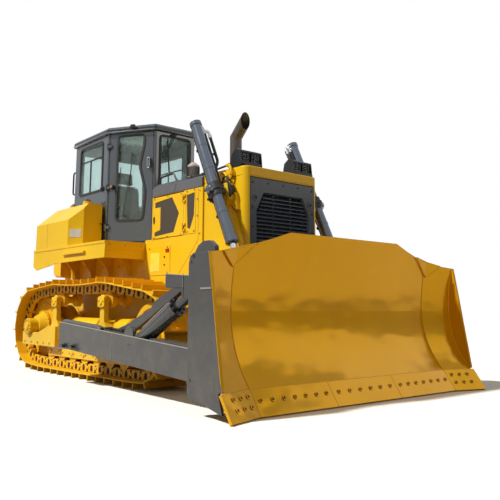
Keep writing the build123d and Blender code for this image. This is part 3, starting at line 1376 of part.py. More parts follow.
def tilt_link(radius, rod):
    """Link between the arm and the blade's back: a cylinder, or a plain brace."""
    half = TILT_R + 3 - FACE_GAP
    link = bar_y(*TILT_FOOT, -TILT_Y - half, -TILT_Y + half, TILT_EYE_R)
    link += bar_y(*TILT_EYE, -TILT_Y - half, -TILT_Y + half, TILT_EYE_R)
    link += rod_between(tilt_point(0.0), tilt_point(0.70), radius)
    link += rod_between(tilt_point(0.65), tilt_point(1.0), rod)
    return link + rod_between(tilt_point(0.655), tilt_point(0.70), radius + 9)


# Lift cylinders

def lift_direction():
    dx, dz = EYE[0] - YOKE[0], EYE[1] - YOKE[1]
    size = hypot(dx, dz)
    return dx / size, dz / size, size


def lift_point(along):
    dx, dz, _ = lift_direction()
    return (YOKE[0] + dx * along, -LIFT_Y, YOKE[1] + dz * along)


def lift_barrel():
    barrel = rod_between(lift_point(-BARREL_ABOVE), lift_point(BARREL_BELOW), BARREL_R)
    x, z = YOKE
    inner = -(LIFT_Y - BARREL_R - 40) - FACE_GAP
    for start, end, proud in BARREL_RINGS:
        barrel += rod_between(lift_point(start), lift_point(end), BARREL_R + proud)
    barrel -= rod_between(lift_point(-BARREL_ABOVE + 60), lift_point(BARREL_BELOW + 1),
                          ROD_R + FACE_GAP)
    barrel += bar_y(x, z, inner, -LIFT_Y + BARREL_R - 5, 58)
    return barrel + bar_y(x, z, -LIFT_Y - BARREL_R - 45, -LIFT_Y - BARREL_R + 5, 50)


BARREL_RINGS = ((-BARREL_ABOVE, -BARREL_ABOVE + 45, 9), (-78, 78, 18), (-20, 20, 30),
                (BARREL_BELOW - 70, BARREL_BELOW, 8))     # from, to, height over the barrel


def lift_rod():
    _, _, reach = lift_direction()
    stroke_end = -BARREL_ABOVE + 120
    rod = rod_between(lift_point(reach - 40), lift_point(stroke_end + 900), ROD_R)
    x, z = EYE
    return rod + bar_y(x, z, -LIFT_Y - EYE_HALF, -LIFT_Y + EYE_HALF, EYE_R)


REAR_REACH = TUB_X[0] - 230.0
FRONT_REACH = cutting_edge()[0][0] + (BIT_TO - WING_FROM - 1.5) * tan(radians(WING_SWEEP))
ORIGIN_X = (REAR_REACH + FRONT_REACH) / 2


def place(shape):
    """Move a shape, or a list of shapes, into the machine's frame."""
    shapes = shape if isinstance(shape, list) else [shape]
    moved = [s.moved(Location((-ORIGIN_X, 0, 0))) for s in shapes]
    return moved[0] if len(moved) == 1 else Compound(children=moved)


def nodes():
    right_track = track()
    wheels = sprocket()
    lamps = work_lamps()
    fenders = fender()
    made = {
        "main_frame": main_frame(),
        "engine_block": engine_block(),
        "radiator_core": radiator_core(),
        "side_panels": side_panels(),
        "hood": hood(),
        "hood_bands": hood_bands(),
        "radiator_guard": radiator_guard(),
        "grille_mask": grille_mask(),
        "work_lamps": lamps,
        "exhaust_stack": exhaust_stack(),
        "air_precleaner": air_precleaner(),
        "fender_right": fenders,
        "fender_left": mirrored(fenders),
        "side_tank_right": side_tank(),
        "side_tank_left": mirrored(side_tank()),
        "rear_tank": rear_tank(),
        "cab_shell": cab_shell(),
        "cab_roof": cab_roof(),
        "cab_glass": cab_glass(),
        "operator_seat": operator_seat(),
        "control_console": control_console(),
        "handrails": handrails(),
        "track_frame_right": track_frame(),
        "track_frame_left": mirrored(track_frame()),
        "equalizer_bar": equalizer_bar(),
        "track_right": right_track,
        "track_left": mirrored(right_track),
        "sprockets": both(wheels),
        "idlers": both(idler()),
        "track_rollers": [s for x in roller_places() for s in both(track_roller(x))],
        "carrier_rollers": [s for x in CARRIER_X for s in both(carrier_roller(x))],
        "final_drives": both(final_drive()),
        "drawbar": drawbar(),
        "blade_moldboard": blade_moldboard(),
        "blade_frame": blade_frame(),
        "cutting_edge": edge_segments(),
        "end_bits": end_bits(),
        "push_arms": both(push_arm()),
        "tilt_cylinder": tilt_link(TILT_R, BRACE_R),
        "tilt_brace": mirrored(tilt_link(BRACE_R, BRACE_R)),
        "lift_barrel_right": lift_barrel(),
        "lift_barrel_left": mirrored(lift_barrel()),
        "lift_rod_right": lift_rod(),
        "lift_rod_left": mirrored(lift_rod()),
        "cab_door_right": cab_door(),
        "cab_door_left": mirrored(cab_door()),
        "door_glass_right": door_glass(),
        "door_glass_left": mirrored(door_glass()),
        "engine_door_right": engine_door(),
        "engine_door_left": mirrored(engine_door()),
    }
    return made


os.makedirs("parts", exist_ok=True)
for name, shape in nodes().items():
    export_step(place(shape), f"parts/{name}.step")
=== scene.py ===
import json
from itertools import product
from math import cos, hypot, pi, radians, sin

import bpy
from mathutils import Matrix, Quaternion, Vector


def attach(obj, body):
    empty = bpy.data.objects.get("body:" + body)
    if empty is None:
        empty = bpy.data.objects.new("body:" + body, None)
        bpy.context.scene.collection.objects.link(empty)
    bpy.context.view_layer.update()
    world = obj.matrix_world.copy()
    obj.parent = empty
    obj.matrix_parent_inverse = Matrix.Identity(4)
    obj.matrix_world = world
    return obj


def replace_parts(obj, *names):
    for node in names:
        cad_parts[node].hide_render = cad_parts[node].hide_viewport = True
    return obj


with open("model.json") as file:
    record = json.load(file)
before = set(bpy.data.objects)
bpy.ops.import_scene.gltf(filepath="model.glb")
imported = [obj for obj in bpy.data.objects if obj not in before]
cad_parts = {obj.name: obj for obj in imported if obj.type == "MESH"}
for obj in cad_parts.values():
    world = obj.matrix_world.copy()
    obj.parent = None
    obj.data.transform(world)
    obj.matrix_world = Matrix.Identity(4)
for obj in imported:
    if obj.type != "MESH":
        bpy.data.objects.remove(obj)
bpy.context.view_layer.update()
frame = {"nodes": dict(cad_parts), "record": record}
NODES = frame["nodes"]
ORIGIN = 2.3927915     # the sprocket's axis lies this far behind the model's origin


def at(x, y, z):
    """A place measured forward from the sprocket's axis, in the model's frame."""
    return Vector((x - ORIGIN, y, z))


# Materials

class Shader:
    """Node tree of one material, with short calls for the nodes it uses."""

    def __init__(self, name):
        self.material = bpy.data.materials.new(name)
        self.material.use_nodes = True
        self.nodes = self.material.node_tree.nodes
        self.links = self.material.node_tree.links
        self.bsdf = self.nodes["Principled BSDF"]

    def node(self, kind, **settings):
        made = self.nodes.new("ShaderNode" + kind)
        for key, value in settings.items():
            setattr(made, key, value)
        return made

    def link(self, source, target):
        self.links.new(source, target)

    def place(self):
        return self.node("TexCoord").outputs["Object"]

    def noise(self, scale, detail=3.0, stretch=None, rough=0.5):
        made = self.node("TexNoise")
        made.inputs["Scale"].default_value = scale
        made.inputs["Detail"].default_value = detail
        made.inputs["Roughness"].default_value = rough
        where = self.place()
        if stretch:
            mapping = self.node("Mapping")
            mapping.inputs["Scale"].default_value = stretch
            self.link(where, mapping.inputs["Vector"])
            where = mapping.outputs["Vector"]
        self.link(where, made.inputs["Vector"])
        return made.outputs["Fac"]

    def ramp(self, source, low, high, start=0.0, end=1.0):
        """source taken from start..end to low..high, and held beyond."""
        made = self.node("MapRange")
        made.inputs["From Min"].default_value = start
        made.inputs["From Max"].default_value = end
        made.inputs["To Min"].default_value = low
        made.inputs["To Max"].default_value = high
        self.link(source, made.inputs["Value"])
        return made.outputs["Result"]

    def mix(self, factor, a, b):
        """Colour between a and b, each a colour or a socket."""
        made = self.node("Mix", data_type="RGBA")
        self.link(factor, made.inputs[0])
        for spot, value in ((6, a), (7, b)):
            if isinstance(value, tuple):
                made.inputs[spot].default_value = value + (1.0,)
            else:
                self.link(value, made.inputs[spot])
        return made.outputs[2]

    def times(self, a, b):
        made = self.node("Math", operation="MULTIPLY")
        for spot, value in ((0, a), (1, b)):
            if isinstance(value, float):
                made.inputs[spot].default_value = value
            else:
                self.link(value, made.inputs[spot])
        return made.outputs[0]

    def along(self, axis, start, end):
        """0 to 1 along an axis of the model."""
        split = self.node("SeparateXYZ")
        self.link(self.place(), split.inputs[0])
        return self.ramp(split.outputs[axis], 0.0, 1.0, start, end)

    def edges(self, width):
        """Rounded-edge normal, and how much an edge bends there, 0 to 1."""
        bevel = self.node("Bevel", samples=4)
        bevel.inputs["Radius"].default_value = width
        geometry = self.node("NewGeometry")
        dot = self.node("VectorMath", operation="DOT_PRODUCT")
        self.link(bevel.outputs["Normal"], dot.inputs[0])
        self.link(geometry.outputs["Normal"], dot.inputs[1])
        return bevel.outputs["Normal"], self.ramp(dot.outputs["Value"], 1.0, 0.0, 0.80, 0.995)

    def bump(self, height, strength, distance, normal=None):
        made = self.node("Bump")
        made.inputs["Strength"].default_value = strength
        made.inputs["Distance"].default_value = distance
        self.link(height, made.inputs["Height"])
        if normal:
            self.link(normal, made.inputs["Normal"])
        self.link(made.outputs["Normal"], self.bsdf.inputs["Normal"])

    def set(self, **values):
        for key, value in values.items():
            self.bsdf.inputs[key.replace("_", " ")].default_value = value

    def colour(self, source):
        self.link(source, self.bsdf.inputs["Base Color"])

    def roughness(self, source):
        self.link(source, self.bsdf.inputs["Roughness"])


DUST_COLOUR = (0.30, 0.24, 0.15)


def tint(colour, factor):
    return tuple(min(1.0, c * factor) for c in colour)


def paint(name, colour, rough, coat, edge=None, edge_width=0.005, dust=0.15, coat_ior=1.5):
    """Sprayed paint: mottled a little, paler on its edges from wear and a painted highlight, dusty
    towards the ground.
    """
    s = Shader(name)
    wide, fine = s.noise(1.3, 4.0), s.noise(38.0, 4.0)
    base = s.mix(s.ramp(wide, 0.0, 1.0, 0.3, 0.7), tint(colour, 0.93), tint(colour, 1.06))
    normal, bend = s.edges(edge_width)
    # Pale edges: partly worn paint, partly a painted highlight where edges catch the light.
    wear_and_highlight = s.times(bend, s.ramp(fine, 0.15, 0.9, 0.35, 0.62))
    base = s.mix(wear_and_highlight, base, edge or tint(colour, 1.35))
    low = s.along(2, 1.5, 0.0)
    soil_and_shade = s.times(s.ramp(s.noise(5.5, 6.0, rough=0.65), 0.0, 1.0, 0.42, 0.72), low)
    s.colour(s.mix(s.times(soil_and_shade, dust), base, DUST_COLOUR))
    s.roughness(s.ramp(fine, rough - 0.05, rough + 0.09, 0.3, 0.7))
    s.bump(s.noise(420.0, 2.0), 0.04, 0.001, normal)
    s.set(Coat_Weight=coat, Coat_Roughness=0.12, Coat_IOR=coat_ior, Specular_IOR_Level=0.18)
    return s.material


def steel(name, colour, rough, metallic=1.0):
    s = Shader(name)
    grain = s.noise(60.0, 4.0)
    s.colour(s.mix(s.ramp(grain, 0.0, 1.0, 0.3, 0.7), tint(colour, 0.85), tint(colour, 1.12)))
    s.roughness(s.ramp(grain, rough * 0.8, rough * 1.3, 0.3, 0.7))
    normal, _ = s.edges(0.002)
    s.bump(s.noise(300.0, 3.0), 0.05, 0.001, normal)
    s.set(Metallic=metallic)
    return s.material


def rubber(name, colour, rough=0.6):
    s = Shader(name)
    grain = s.noise(90.0, 5.0)
    s.colour(s.mix(s.ramp(grain, 0.0, 1.0, 0.3, 0.7), tint(colour, 0.8), tint(colour, 1.3)))
    s.roughness(s.ramp(grain, rough - 0.08, rough + 0.1, 0.3, 0.7))
    s.bump(s.noise(700.0, 2.0), 0.15, 0.001)
    return s.material


def plastic(name, colour, rough=0.45):
    s = Shader(name)
    s.colour(s.mix(s.ramp(s.noise(7.0, 4.0), 0.0, 1.0, 0.3, 0.7), tint(colour, 0.9),
                   tint(colour, 1.12)))
    cells = s.node("TexVoronoi", feature="DISTANCE_TO_EDGE")
    cells.inputs["Scale"].default_value = 900.0
    s.link(s.place(), cells.inputs["Vector"])
    normal, _ = s.edges(0.003)
    s.bump(cells.outputs["Distance"], 0.12, 0.001, normal)
    s.set(Roughness=rough)
    return s.material


def glass(name, colour, rough=0.02):
    """Clear tinted pane with a faint, patchy film of dust."""
    s = Shader(name)
    film = s.ramp(s.noise(6.0, 5.0), 0.0, 1.0, 0.35, 0.75)
    s.colour(s.mix(s.times(film, 0.25), colour, tint(colour, 1.15)))
    s.roughness(s.ramp(film, rough, rough + 0.03))
    s.set(Transmission_Weight=0.92, IOR=1.25, Specular_IOR_Level=0.5)
    return s.material


def fabric(name, colour):
    s = Shader(name)
    wave = s.node("TexWave", wave_type="BANDS", bands_direction="DIAGONAL")
    wave.inputs["Scale"].default_value = 240.0
    wave.inputs["Distortion"].default_value = 1.5
    s.link(s.place(), wave.inputs["Vector"])
    s.colour(s.mix(wave.outputs["Fac"], tint(colour, 0.7), tint(colour, 1.4)))
    s.bump(wave.outputs["Fac"], 0.3, 0.002)
    s.set(Roughness=0.85, Sheen_Weight=0.25)
    return s.material


YELLOW = (0.83, 0.515, 0.009)
# Each paint's edge colour is partly worn paint and partly a painted highlight on its edges.
MATERIALS = {
    "yellow_paint": paint("yellow paint", YELLOW, 0.34, 0.1, edge=(0.95, 0.66, 0.12)),
    # The bright, wide edge of the track paint is a painted highlight along the shoes' edges, over a
    # little wear.
    "track_steel": paint("track paint", (0.82, 0.45, 0.006), 0.48, 0.05,
                         edge=(1.0, 0.72, 0.14), edge_width=0.008, dust=0.12),
    "grey_paint": paint("grey paint", (0.068, 0.070, 0.077), 0.34, 0.35,
                        edge=(0.20, 0.20, 0.20), dust=0.25),
    # The pale edge of the cab paint is a painted highlight on the cab's edges.
    "cab_paint": paint("cab paint", (0.058, 0.072, 0.090), 0.20, 1.0,
                       edge=(0.22, 0.23, 0.24), dust=0.0, coat_ior=1.9),
    "roof_paint": paint("roof paint", (0.034, 0.042, 0.056), 0.24, 0.6, dust=0.0),
    "band_paint": paint("band paint", (0.12, 0.12, 0.14), 0.3, 0.4, dust=0.0),
    "black_paint": paint("black paint", (0.022, 0.023, 0.027), 0.38, 0.2,
                         edge=(0.10, 0.10, 0.11), dust=0.0),
    "bright_rod": steel("polished rod", (0.80, 0.81, 0.83), 0.08),
    "engine_iron": steel("cast iron", (0.17, 0.17, 0.17), 0.6, 0.7),
    "radiator_black": steel("radiator fins", (0.05, 0.05, 0.055), 0.55, 0.6),
    "cab_glass": glass("tinted glass", (0.70, 0.83, 0.82)),
    "seat_fabric": fabric("seat cloth", (0.035, 0.035, 0.04)),
    "cab_plastic": plastic("grained plastic", (0.045, 0.045, 0.05)),
    # Pale grey for welds, tread and the tilt pipe: partly worn paint, partly a painted highlight along
    # edges.
    "arm_edge": paint("worn and highlit grey", (0.30, 0.29, 0.27), 0.4, 0.1, dust=0.2),
    "rubber": rubber("window rubber", (0.012, 0.012, 0.013)),
    "exhaust": steel("exhaust coating", (0.095, 0.078, 0.066), 0.36, 0.35),
    "beige_metal": steel("beige metal", (0.52, 0.44, 0.38), 0.38, 0.4),
    "tilt_paint": paint("tilt paint", (0.030, 0.032, 0.037), 0.22, 1.0,
                        edge=(0.20, 0.21, 0.23), edge_width=0.003, dust=0.05),
    # The pale blue edge of the mask paint is a painted highlight.
    "mask_paint": paint("mask paint", (0.022, 0.034, 0.056), 0.28, 0.5,
                        edge=(0.12, 0.16, 0.26), dust=0.0),
    "zinc": steel("zinc bolts", (0.62, 0.60, 0.56), 0.32),
    "copper": steel("yellow zinc bolts", (0.62, 0.34, 0.12), 0.35),
    "mesh": steel("intake mesh", (0.085, 0.066, 0.050), 0.6, 0.4),
    "lens": glass("lamp lens", (0.35, 0.38, 0.42), 0.03),
    "reflector": steel("lamp reflector", (0.08, 0.085, 0.095), 0.2),
    "red": plastic("red lens", (0.42, 0.02, 0.015), 0.2),
    "plate": plastic("blank plate", (0.62, 0.60, 0.55), 0.4),
    "label": plastic("blank label", (0.88, 0.70, 0.07), 0.35),
    # Near-black painted shade, used in the chain's gaps and in the edge bolts' sockets.
    "soil_and_shade": rubber("painted shade", (0.030, 0.013, 0.003), 0.9),
}


def blade_paint():
    """Golden enamel with long soft vertical streaks and slightly wavy reflections."""
    s = Shader("blade paint")
    colour = (0.73, 0.366, 0.0005)
    streak = s.noise(2.2, 4.0, stretch=(1.0, 1.0, 0.15))
    base = s.mix(s.ramp(streak, 0.0, 1.0, 0.35, 0.65), tint(colour, 0.97), tint(colour, 1.03))
    normal, bend = s.edges(0.006)
    # The paler gold on every edge is a painted highlight.
    s.colour(s.mix(s.times(bend, 0.6), base, (0.80, 0.46, 0.06)))
    s.roughness(s.ramp(s.noise(2.5, 4.0), 0.08, 0.22, 0.3, 0.7))
    s.bump(s.noise(1.1, 3.0, stretch=(1.0, 0.6, 1.0)), 0.8, 0.08, normal)
    s.set(Metallic=0.30, Coat_Weight=0.12, Coat_Roughness=0.04, Specular_IOR_Level=0.05)
    return s.material


def hood_paint():
    """Yellow below, and dark grey from the bands up over the top."""
    s = Shader("hood paint")
    normal, bend = s.edges(0.005)
    fine = s.noise(38.0, 4.0)
    base = s.mix(s.along(2, 2.3420, 2.3425), YELLOW, (0.075, 0.076, 0.088))
    wear_and_highlight = s.times(bend, s.ramp(fine, 0.15, 0.5, 0.35, 0.62))
    s.colour(s.mix(wear_and_highlight, base, (0.40, 0.36, 0.30)))
    s.roughness(s.ramp(fine, 0.28, 0.42, 0.3, 0.7))
    s.bump(s.noise(420.0, 2.0), 0.04, 0.001, normal)
    s.set(Coat_Weight=0.2, Coat_Roughness=0.12, Specular_IOR_Level=0.3)
    return s.material


def barrel_paint():
    """Smooth grey-blue enamel on the cylinder barrels."""
    s = Shader("barrel paint")
    normal, bend = s.edges(0.003)
    # The pale grey on the edges is a painted highlight.
    s.colour(s.mix(s.times(bend, 0.5), (0.120, 0.138, 0.172), (0.42, 0.44, 0.48)))
    s.roughness(s.ramp(s.noise(5.0, 3.0), 0.15, 0.24, 0.3, 0.7))
    s.bump(s.noise(250.0, 2.0), 0.02, 0.001, normal)
    s.set(Metallic=0.6, Coat_Weight=0.7, Coat_Roughness=0.05)
    return s.material


MATERIALS["gold_paint"] = blade_paint()
MATERIALS["barrel_paint"] = barrel_paint()
MATERIALS["hood_paint"] = hood_paint()
# Nodes whose look differs from the material slot that the record gives them.
OVERRIDE = {
    "cab_shell": "cab_paint", "cab_roof": "roof_paint", "cab_door_right": "cab_paint",
    "cab_door_left": "cab_paint", "exhaust_stack": "exhaust", "grille_mask": "mask_paint",
    "air_precleaner": "beige_metal", "hood": "hood_paint", "tilt_cylinder": "tilt_paint",
    "lift_barrel_right": "barrel_paint", "lift_barrel_left": "barrel_paint",
}
# The material slot that the record gives each node.
SLOT_OF = {s["node"]: s["material_slot"] for s in frame["record"]["subparts"]}
for node, thing in NODES.items():
    finish = MATERIALS[OVERRIDE.get(node, SLOT_OF[node])]
    thing.data.materials.clear()
    thing.data.materials.append(finish)


# Stage, light and camera

def stage_material(name, shown, bounced):
    """Matt: it shows as one colour, and throws the light of a darker one onto the machine."""
    s = Shader(name)
    rays = s.node("LightPath")
    s.colour(s.mix(rays.outputs["Is Diffuse Ray"], shown, bounced))
    s.set(Roughness=0.9, Specular_IOR_Level=0.1)
    return s.material


FLOOR_HALF = 40.0
floor_mesh = bpy.data.meshes.new("floor")
floor_mesh.from_pydata([(x * FLOOR_HALF, y * FLOOR_HALF, 0) for x, y in
                        ((-1, -1), (1, -1), (1, 1), (-1, 1))], [], [(0, 1, 2, 3)])
floor = bpy.data.objects.new("floor", floor_mesh)
bpy.context.scene.collection.objects.link(floor)
floor_mesh.materials.append(stage_material("pale floor", (0.97, 0.97, 0.97), (0.25, 0.21, 0.165)))

world = bpy.data.worlds.new("studio")
bpy.context.scene.world = world
world.use_nodes = True
tree = world.node_tree
tree.nodes.clear()
out = tree.nodes.new("ShaderNodeOutputWorld")
path = tree.nodes.new("ShaderNodeLightPath")


def sky(colour, strength):
    made = tree.nodes.new("ShaderNodeBackground")
    made.inputs["Color"].default_value = colour + (1.0,)
    made.inputs["Strength"].default_value = strength
    return made.outputs[0]


def choose(factor, other, chosen):
    made = tree.nodes.new("ShaderNodeMixShader")
    for spot, source in enumerate((factor, other, chosen)):
        tree.links.new(source, made.inputs[spot])
    return made.outputs[0]


# Polished parts see a pale sky above a darker horizon: height in the sky, then colour.
SKY_STEPS = ((0.02, (0.46, 0.46, 0.46)), (0.16, (0.50, 0.51, 0.53)), (0.34, (0.62, 0.68, 0.75)),
             (0.90, (0.76, 0.83, 0.92)))
facing = tree.nodes.new("ShaderNodeTexCoord")
parts = tree.nodes.new("ShaderNodeSeparateXYZ")
height = tree.nodes.new("ShaderNodeValToRGB")
tree.links.new(facing.outputs["Generated"], parts.inputs[0])
tree.links.new(parts.outputs["Z"], height.inputs[0])
while len(height.color_ramp.elements) < len(SKY_STEPS):
    height.color_ramp.elements.new(0.5)
for element, (spot, shade) in zip(height.color_ramp.elements, SKY_STEPS):
    element.position = spot
    element.color = shade + (1.0,)
mirrored = tree.nodes.new("ShaderNodeBackground")
tree.links.new(height.outputs[0], mirrored.inputs["Color"])
either = tree.nodes.new("ShaderNodeMath")
either.operation = "MAXIMUM"
tree.links.new(path.outputs["Is Camera Ray"], either.inputs[0])
tree.links.new(path.outputs["Is Transmission Ray"], either.inputs[1])
lit = choose(path.outputs["Is Glossy Ray"], sky((1.0, 0.88, 0.72), 0.26), mirrored.outputs[0])
tree.links.new(choose(either.outputs[0], lit, sky((1.0, 1.0, 1.0), 1.0)), out.inputs["Surface"])


def lamp(name, kind, place, target, energy, size, colour=(1, 1, 1)):
    data = bpy.data.lights.new(name, kind)
    data.energy = energy
    data.color = colour
    if kind == "AREA":
        data.shape = "RECTANGLE"
        data.size, data.size_y = size
    else:
        data.angle = size
    thing = bpy.data.objects.new(name, data)
    thing.location = place
    thing.rotation_euler = (Vector(target) - Vector(place)).to_track_quat("-Z", "Y").to_euler()
    bpy.context.scene.collection.objects.link(thing)


lamp("key", "SUN", (-1.9, -7.0, 8.0), (0.4, 0.0, 0.0), 4.2, radians(4), (1.0, 0.98, 0.90))
lamp("soft_front", "AREA", (11, -2, 3), (2.9, 0, 0.7), 24, (6, 3))
lamp("soft_far", "AREA", (9, 9.5, 6.5), (2.9, 0, 0.8), 150, (9, 5), (1.0, 0.93, 0.80))

camera = bpy.data.objects.new("camera", bpy.data.cameras.new("camera"))
bpy.context.scene.collection.objects.link(camera)
yaw, pitch, roll = radians(140.31), radians(8.85), 0.0051
look = Vector((cos(pitch) * cos(yaw), cos(pitch) * sin(yaw), sin(pitch)))
camera.location = (7.0818, -5.1870, 0.9156)
camera.rotation_mode = "QUATERNION"
camera.rotation_quaternion = look.to_track_quat("-Z", "Y") @ Quaternion((0, 0, 1), roll)
camera.data.lens = 46.86
camera.data.sensor_width = 36.0
camera.data.shift_x = 0.0294
camera.data.shift_y = -0.0886
camera.data.clip_end = 200.0
bpy.context.scene.camera = camera
bpy.context.scene.view_settings.view_transform = "Standard"


# Mesh tools

class Form:
    """Vertices and faces gathered for one piece."""

    def __init__(self):
        self.verts = []
        self.faces = []

    def add(self, verts, faces):
        start = len(self.verts)
        self.verts += [tuple(v) for v in verts]
        self.faces += [tuple(start + i for i in face) for face in faces]
        return self

    def block(self, low, high):
        return self.add(product(*zip(low, high)), [(0, 1, 3, 2), (4, 6, 7, 5), (0, 4, 5, 1),
                                                   (2, 3, 7, 6), (0, 2, 6, 4), (1, 5, 7, 3)])

    def slab(self, outline, out, depth):
        """A flat outline pushed along the direction out by depth."""
        n = len(outline)
        out = Vector(out).normalized() * depth
        verts = [Vector(p) for p in outline] + [Vector(p) + out for p in outline]
        normal = Vector((0, 0, 0))
        for i in range(n):
            normal += verts[i].cross(verts[(i + 1) % n])
        order = list(range(n))
        if normal.dot(out) > 0:
            order.reverse()
        faces = [tuple(order), tuple(i + n for i in reversed(order))]
        for a, b in zip(order, order[1:] + order[:1]):
            faces.append((b, a, a + n, b + n))
        return self.add(verts, faces)

    def turn(self, place, axis, profile, sides=16):
        """A turned shape: profile is (distance along the axis, radius) from end to end.

        A profile that goes out and comes back to one bore radius at its two faces makes a ring.
        """
        place = Vector(place)
        axis = Vector(axis).normalized()
        u = axis.orthogonal().normalized()
        v = axis.cross(u)
        verts, faces = [], []
        for along, radius in profile:
            for k in range(sides):
                a = 2 * pi * k / sides
                verts.append(place + axis * along + (u * cos(a) + v * sin(a)) * radius)
        rows = len(profile)
        ring = (profile[0][0] == profile[1][0] and profile[-1][0] == profile[-2][0]
                and profile[0][1] == profile[-1][1])
        for r in range(rows if ring else rows - 1):
            for k in range(sides):
                n = (k + 1) % sides
                top = (r + 1) % rows
                faces.append((r * sides + k, r * sides + n, top * sides + n, top * sides + k))
        if ring:
            return self.add(verts, faces)
        faces.append(tuple(reversed(range(sides))))
        last = (rows - 1) * sides
        faces.append(tuple(range(last, last + sides)))
        return self.add(verts, faces)

    def bolt(self, place, axis, size=0.022, high=0.012, washer=True):
        """Hexagonal head, size across its corners, standing on a washer."""
        if washer:
            self.turn(place, axis, [(-0.001, size * 0.62), (0.0025, size * 0.62)], 10)
        return self.turn(place, axis, [(0.0, size / 2), (high * 0.8, size / 2),
                                       (high, size * 0.40)], 6)

    def bolts(self, places, *settings):
        """Equal bolts at several places."""
        for place in places:
            self.bolt(place, *settings)
        return self

    def plate(self, s, y, x0, z0, x1, z1, depth):
        """An upright rectangle at y from the middle on the side s, pushed outwards by depth."""
        return self.slab(upright(s, y, *corners(x0, z0, x1, z1)), (0, s, 0), depth)

    def tube(self, route, radius, sides=10, bend=0.0, steps=5, closed=False):
        """A round bar along a route, with its corners rounded."""
        points = rounded(route, bend, steps, closed) if bend else [Vector(p) for p in route]
        n = len(points)
        frames = []
        side = None
        for i, p in enumerate(points):
            ahead = points[(i + 1) % n] - p if closed or i < n - 1 else p - points[i - 1]
            behind = p - points[i - 1] if closed or i > 0 else ahead
            way = (ahead.normalized() + behind.normalized()).normalized()
            side = way.orthogonal() if side is None else side
            side = (side - way * side.dot(way)).normalized()
            frames.append((p, side, way.cross(side)))
        verts = [p + (u * cos(2 * pi * k / sides) + v * sin(2 * pi * k / sides)) * radius
                 for p, u, v in frames for k in range(sides)]
        faces = []
        for r in range(n if closed else n - 1):
            s = (r + 1) % n
            for k in range(sides):
                m = (k + 1) % sides
                faces.append((r * sides + k, r * sides + m, s * sides + m, s * sides + k))
        if not closed:
            faces.append(tuple(reversed(range(sides))))
            faces.append(tuple((n - 1) * sides + k for k in range(sides)))
        return self.add(verts, faces)

    def make(self, name, material, body="machine", slot=None, bevel=0.0, crease=35):
        """The finished piece: it rides on a body. Its slot argument is not used."""
        mesh = bpy.data.meshes.new(name)
        mesh.from_pydata(self.verts, [], self.faces)
        mesh.validate()
        mesh.materials.append(MATERIALS[material])
        for face in mesh.polygons:
            face.use_smooth = True
        mesh.set_sharp_from_angle(angle=radians(crease))
        piece = bpy.data.objects.new(name, mesh)
        bpy.context.scene.collection.objects.link(piece)
        if bevel:
            mod = piece.modifiers.new("bevel", "BEVEL")
            mod.width = bevel
            mod.segments = 2
            mod.limit_method = "ANGLE"
            mod.angle_limit = radians(40)
            mod.harden_normals = True
        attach(piece, body)
        return piece


def rounded(route, bend, steps, closed=False):
    """The route's points with every corner turned into a short curve."""
    route = [Vector(p) for p in route]
    n = len(route)
    points = []
    for i, p in enumerate(route):
        if not closed and i in (0, n - 1):
            points.append(p)
            continue
        a, b = route[i - 1], route[(i + 1) % n]
        reach_a = min(bend, (a - p).length * 0.48)
        reach_b = min(bend, (b - p).length * 0.48)
        start = p + (a - p).normalized() * reach_a
        end = p + (b - p).normalized() * reach_b
        for k in range(steps + 1):
            t = k / steps
            points.append(start * (1 - t) ** 2 + p * 2 * t * (1 - t) + end * t ** 2)
    return points


def ring_on(outline, width, out, depth):
    """A flat frame of this width laid along a closed outline, pushed out by depth."""
    n = len(outline)
    normal = Vector(out).normalized()
    centre = sum(outline, Vector((0, 0, 0))) / n
    inner, outer = [], []
    for i, p in enumerate(outline):
        a = (p - outline[i - 1]).normalized()
        b = (outline[(i + 1) % n] - p).normalized()
        side = (a + b).normalized().cross(normal)
        if side.dot(p - centre) < 0:
            side = -side
        inner.append(p - side * width / 2)
        outer.append(p + side * width / 2)
    loops = [inner, outer, [p + normal * depth * 0.75 for p in outer],
             [(i + o) / 2 + normal * depth for i, o in zip(inner, outer)],
             [p + normal * depth * 0.75 for p in inner]]
    verts = [v for loop in loops for v in loop]
    faces = []
    for r in range(5):
        s = (r + 1) % 5
        for k in range(n):
            m = (k + 1) % n
            faces.append((r * n + k, r * n + m, s * n + m, s * n + k))
    return Form().add(verts, faces)


def soft_loop(outline, bend, steps=6):
    return rounded(outline, bend, steps, closed=True)


SIDES = (("right", -1), ("left", 1))
X, Y, Z = Vector((1, 0, 0)), Vector((0, 1, 0)), Vector((0, 0, 1))


def corners(a0, b0, a1, b1):
    """The four corners of a rectangle, in order round it."""
    return (a0, b0), (a1, b0), (a1, b1), (a0, b1)


def upright(s, y, *spots):
    """Places (x, z) in an upright plane, y from the middle on the side s."""
    return [at(x, s * y, z) for x, z in spots]


def level(s, z, *spots):
    """Places (x, y) at one height, with y measured from the middle on the side s."""
    return [at(x, s * y, z) for x, y in spots]


def grid(*axes):
    """Places at every combination of x, y and z, each a number or a tuple of numbers."""
    return [at(*place) for place in product(*[a if isinstance(a, tuple) else (a,) for a in axes])]


def circle(centre, u, v, radius, count, start=0.0):
    """Places spaced evenly round a circle, the first one start steps on from u."""
    angles = [2 * pi * (k + start) / count for k in range(count)]
    return [centre + (u * cos(a) + v * sin(a)) * radius for a in angles]


def collar(inner, outer, wide, start=0.0):
    """Profile of a ring for Form.turn."""
    return [(start, inner), (start, outer), (start + wide, outer), (start + wide, inner)]


# Cab: seals, bars, wipers, hinges and latches

SIDE_PANE = corners(0.31, 2.59, 1.05, 3.315)
DOOR_PANE = ((0.160, 2.116), (0.585, 2.116), (0.620, 2.528), (0.520, 2.888), (0.590, 3.220),
             (0.585, 3.340), (0.160, 3.340))
SEAL_WIDTH, SEAL_HIGH = 0.034, 0.012
FRONT_X, REAR_X = 1.86, 0.10     # the cab's two end walls


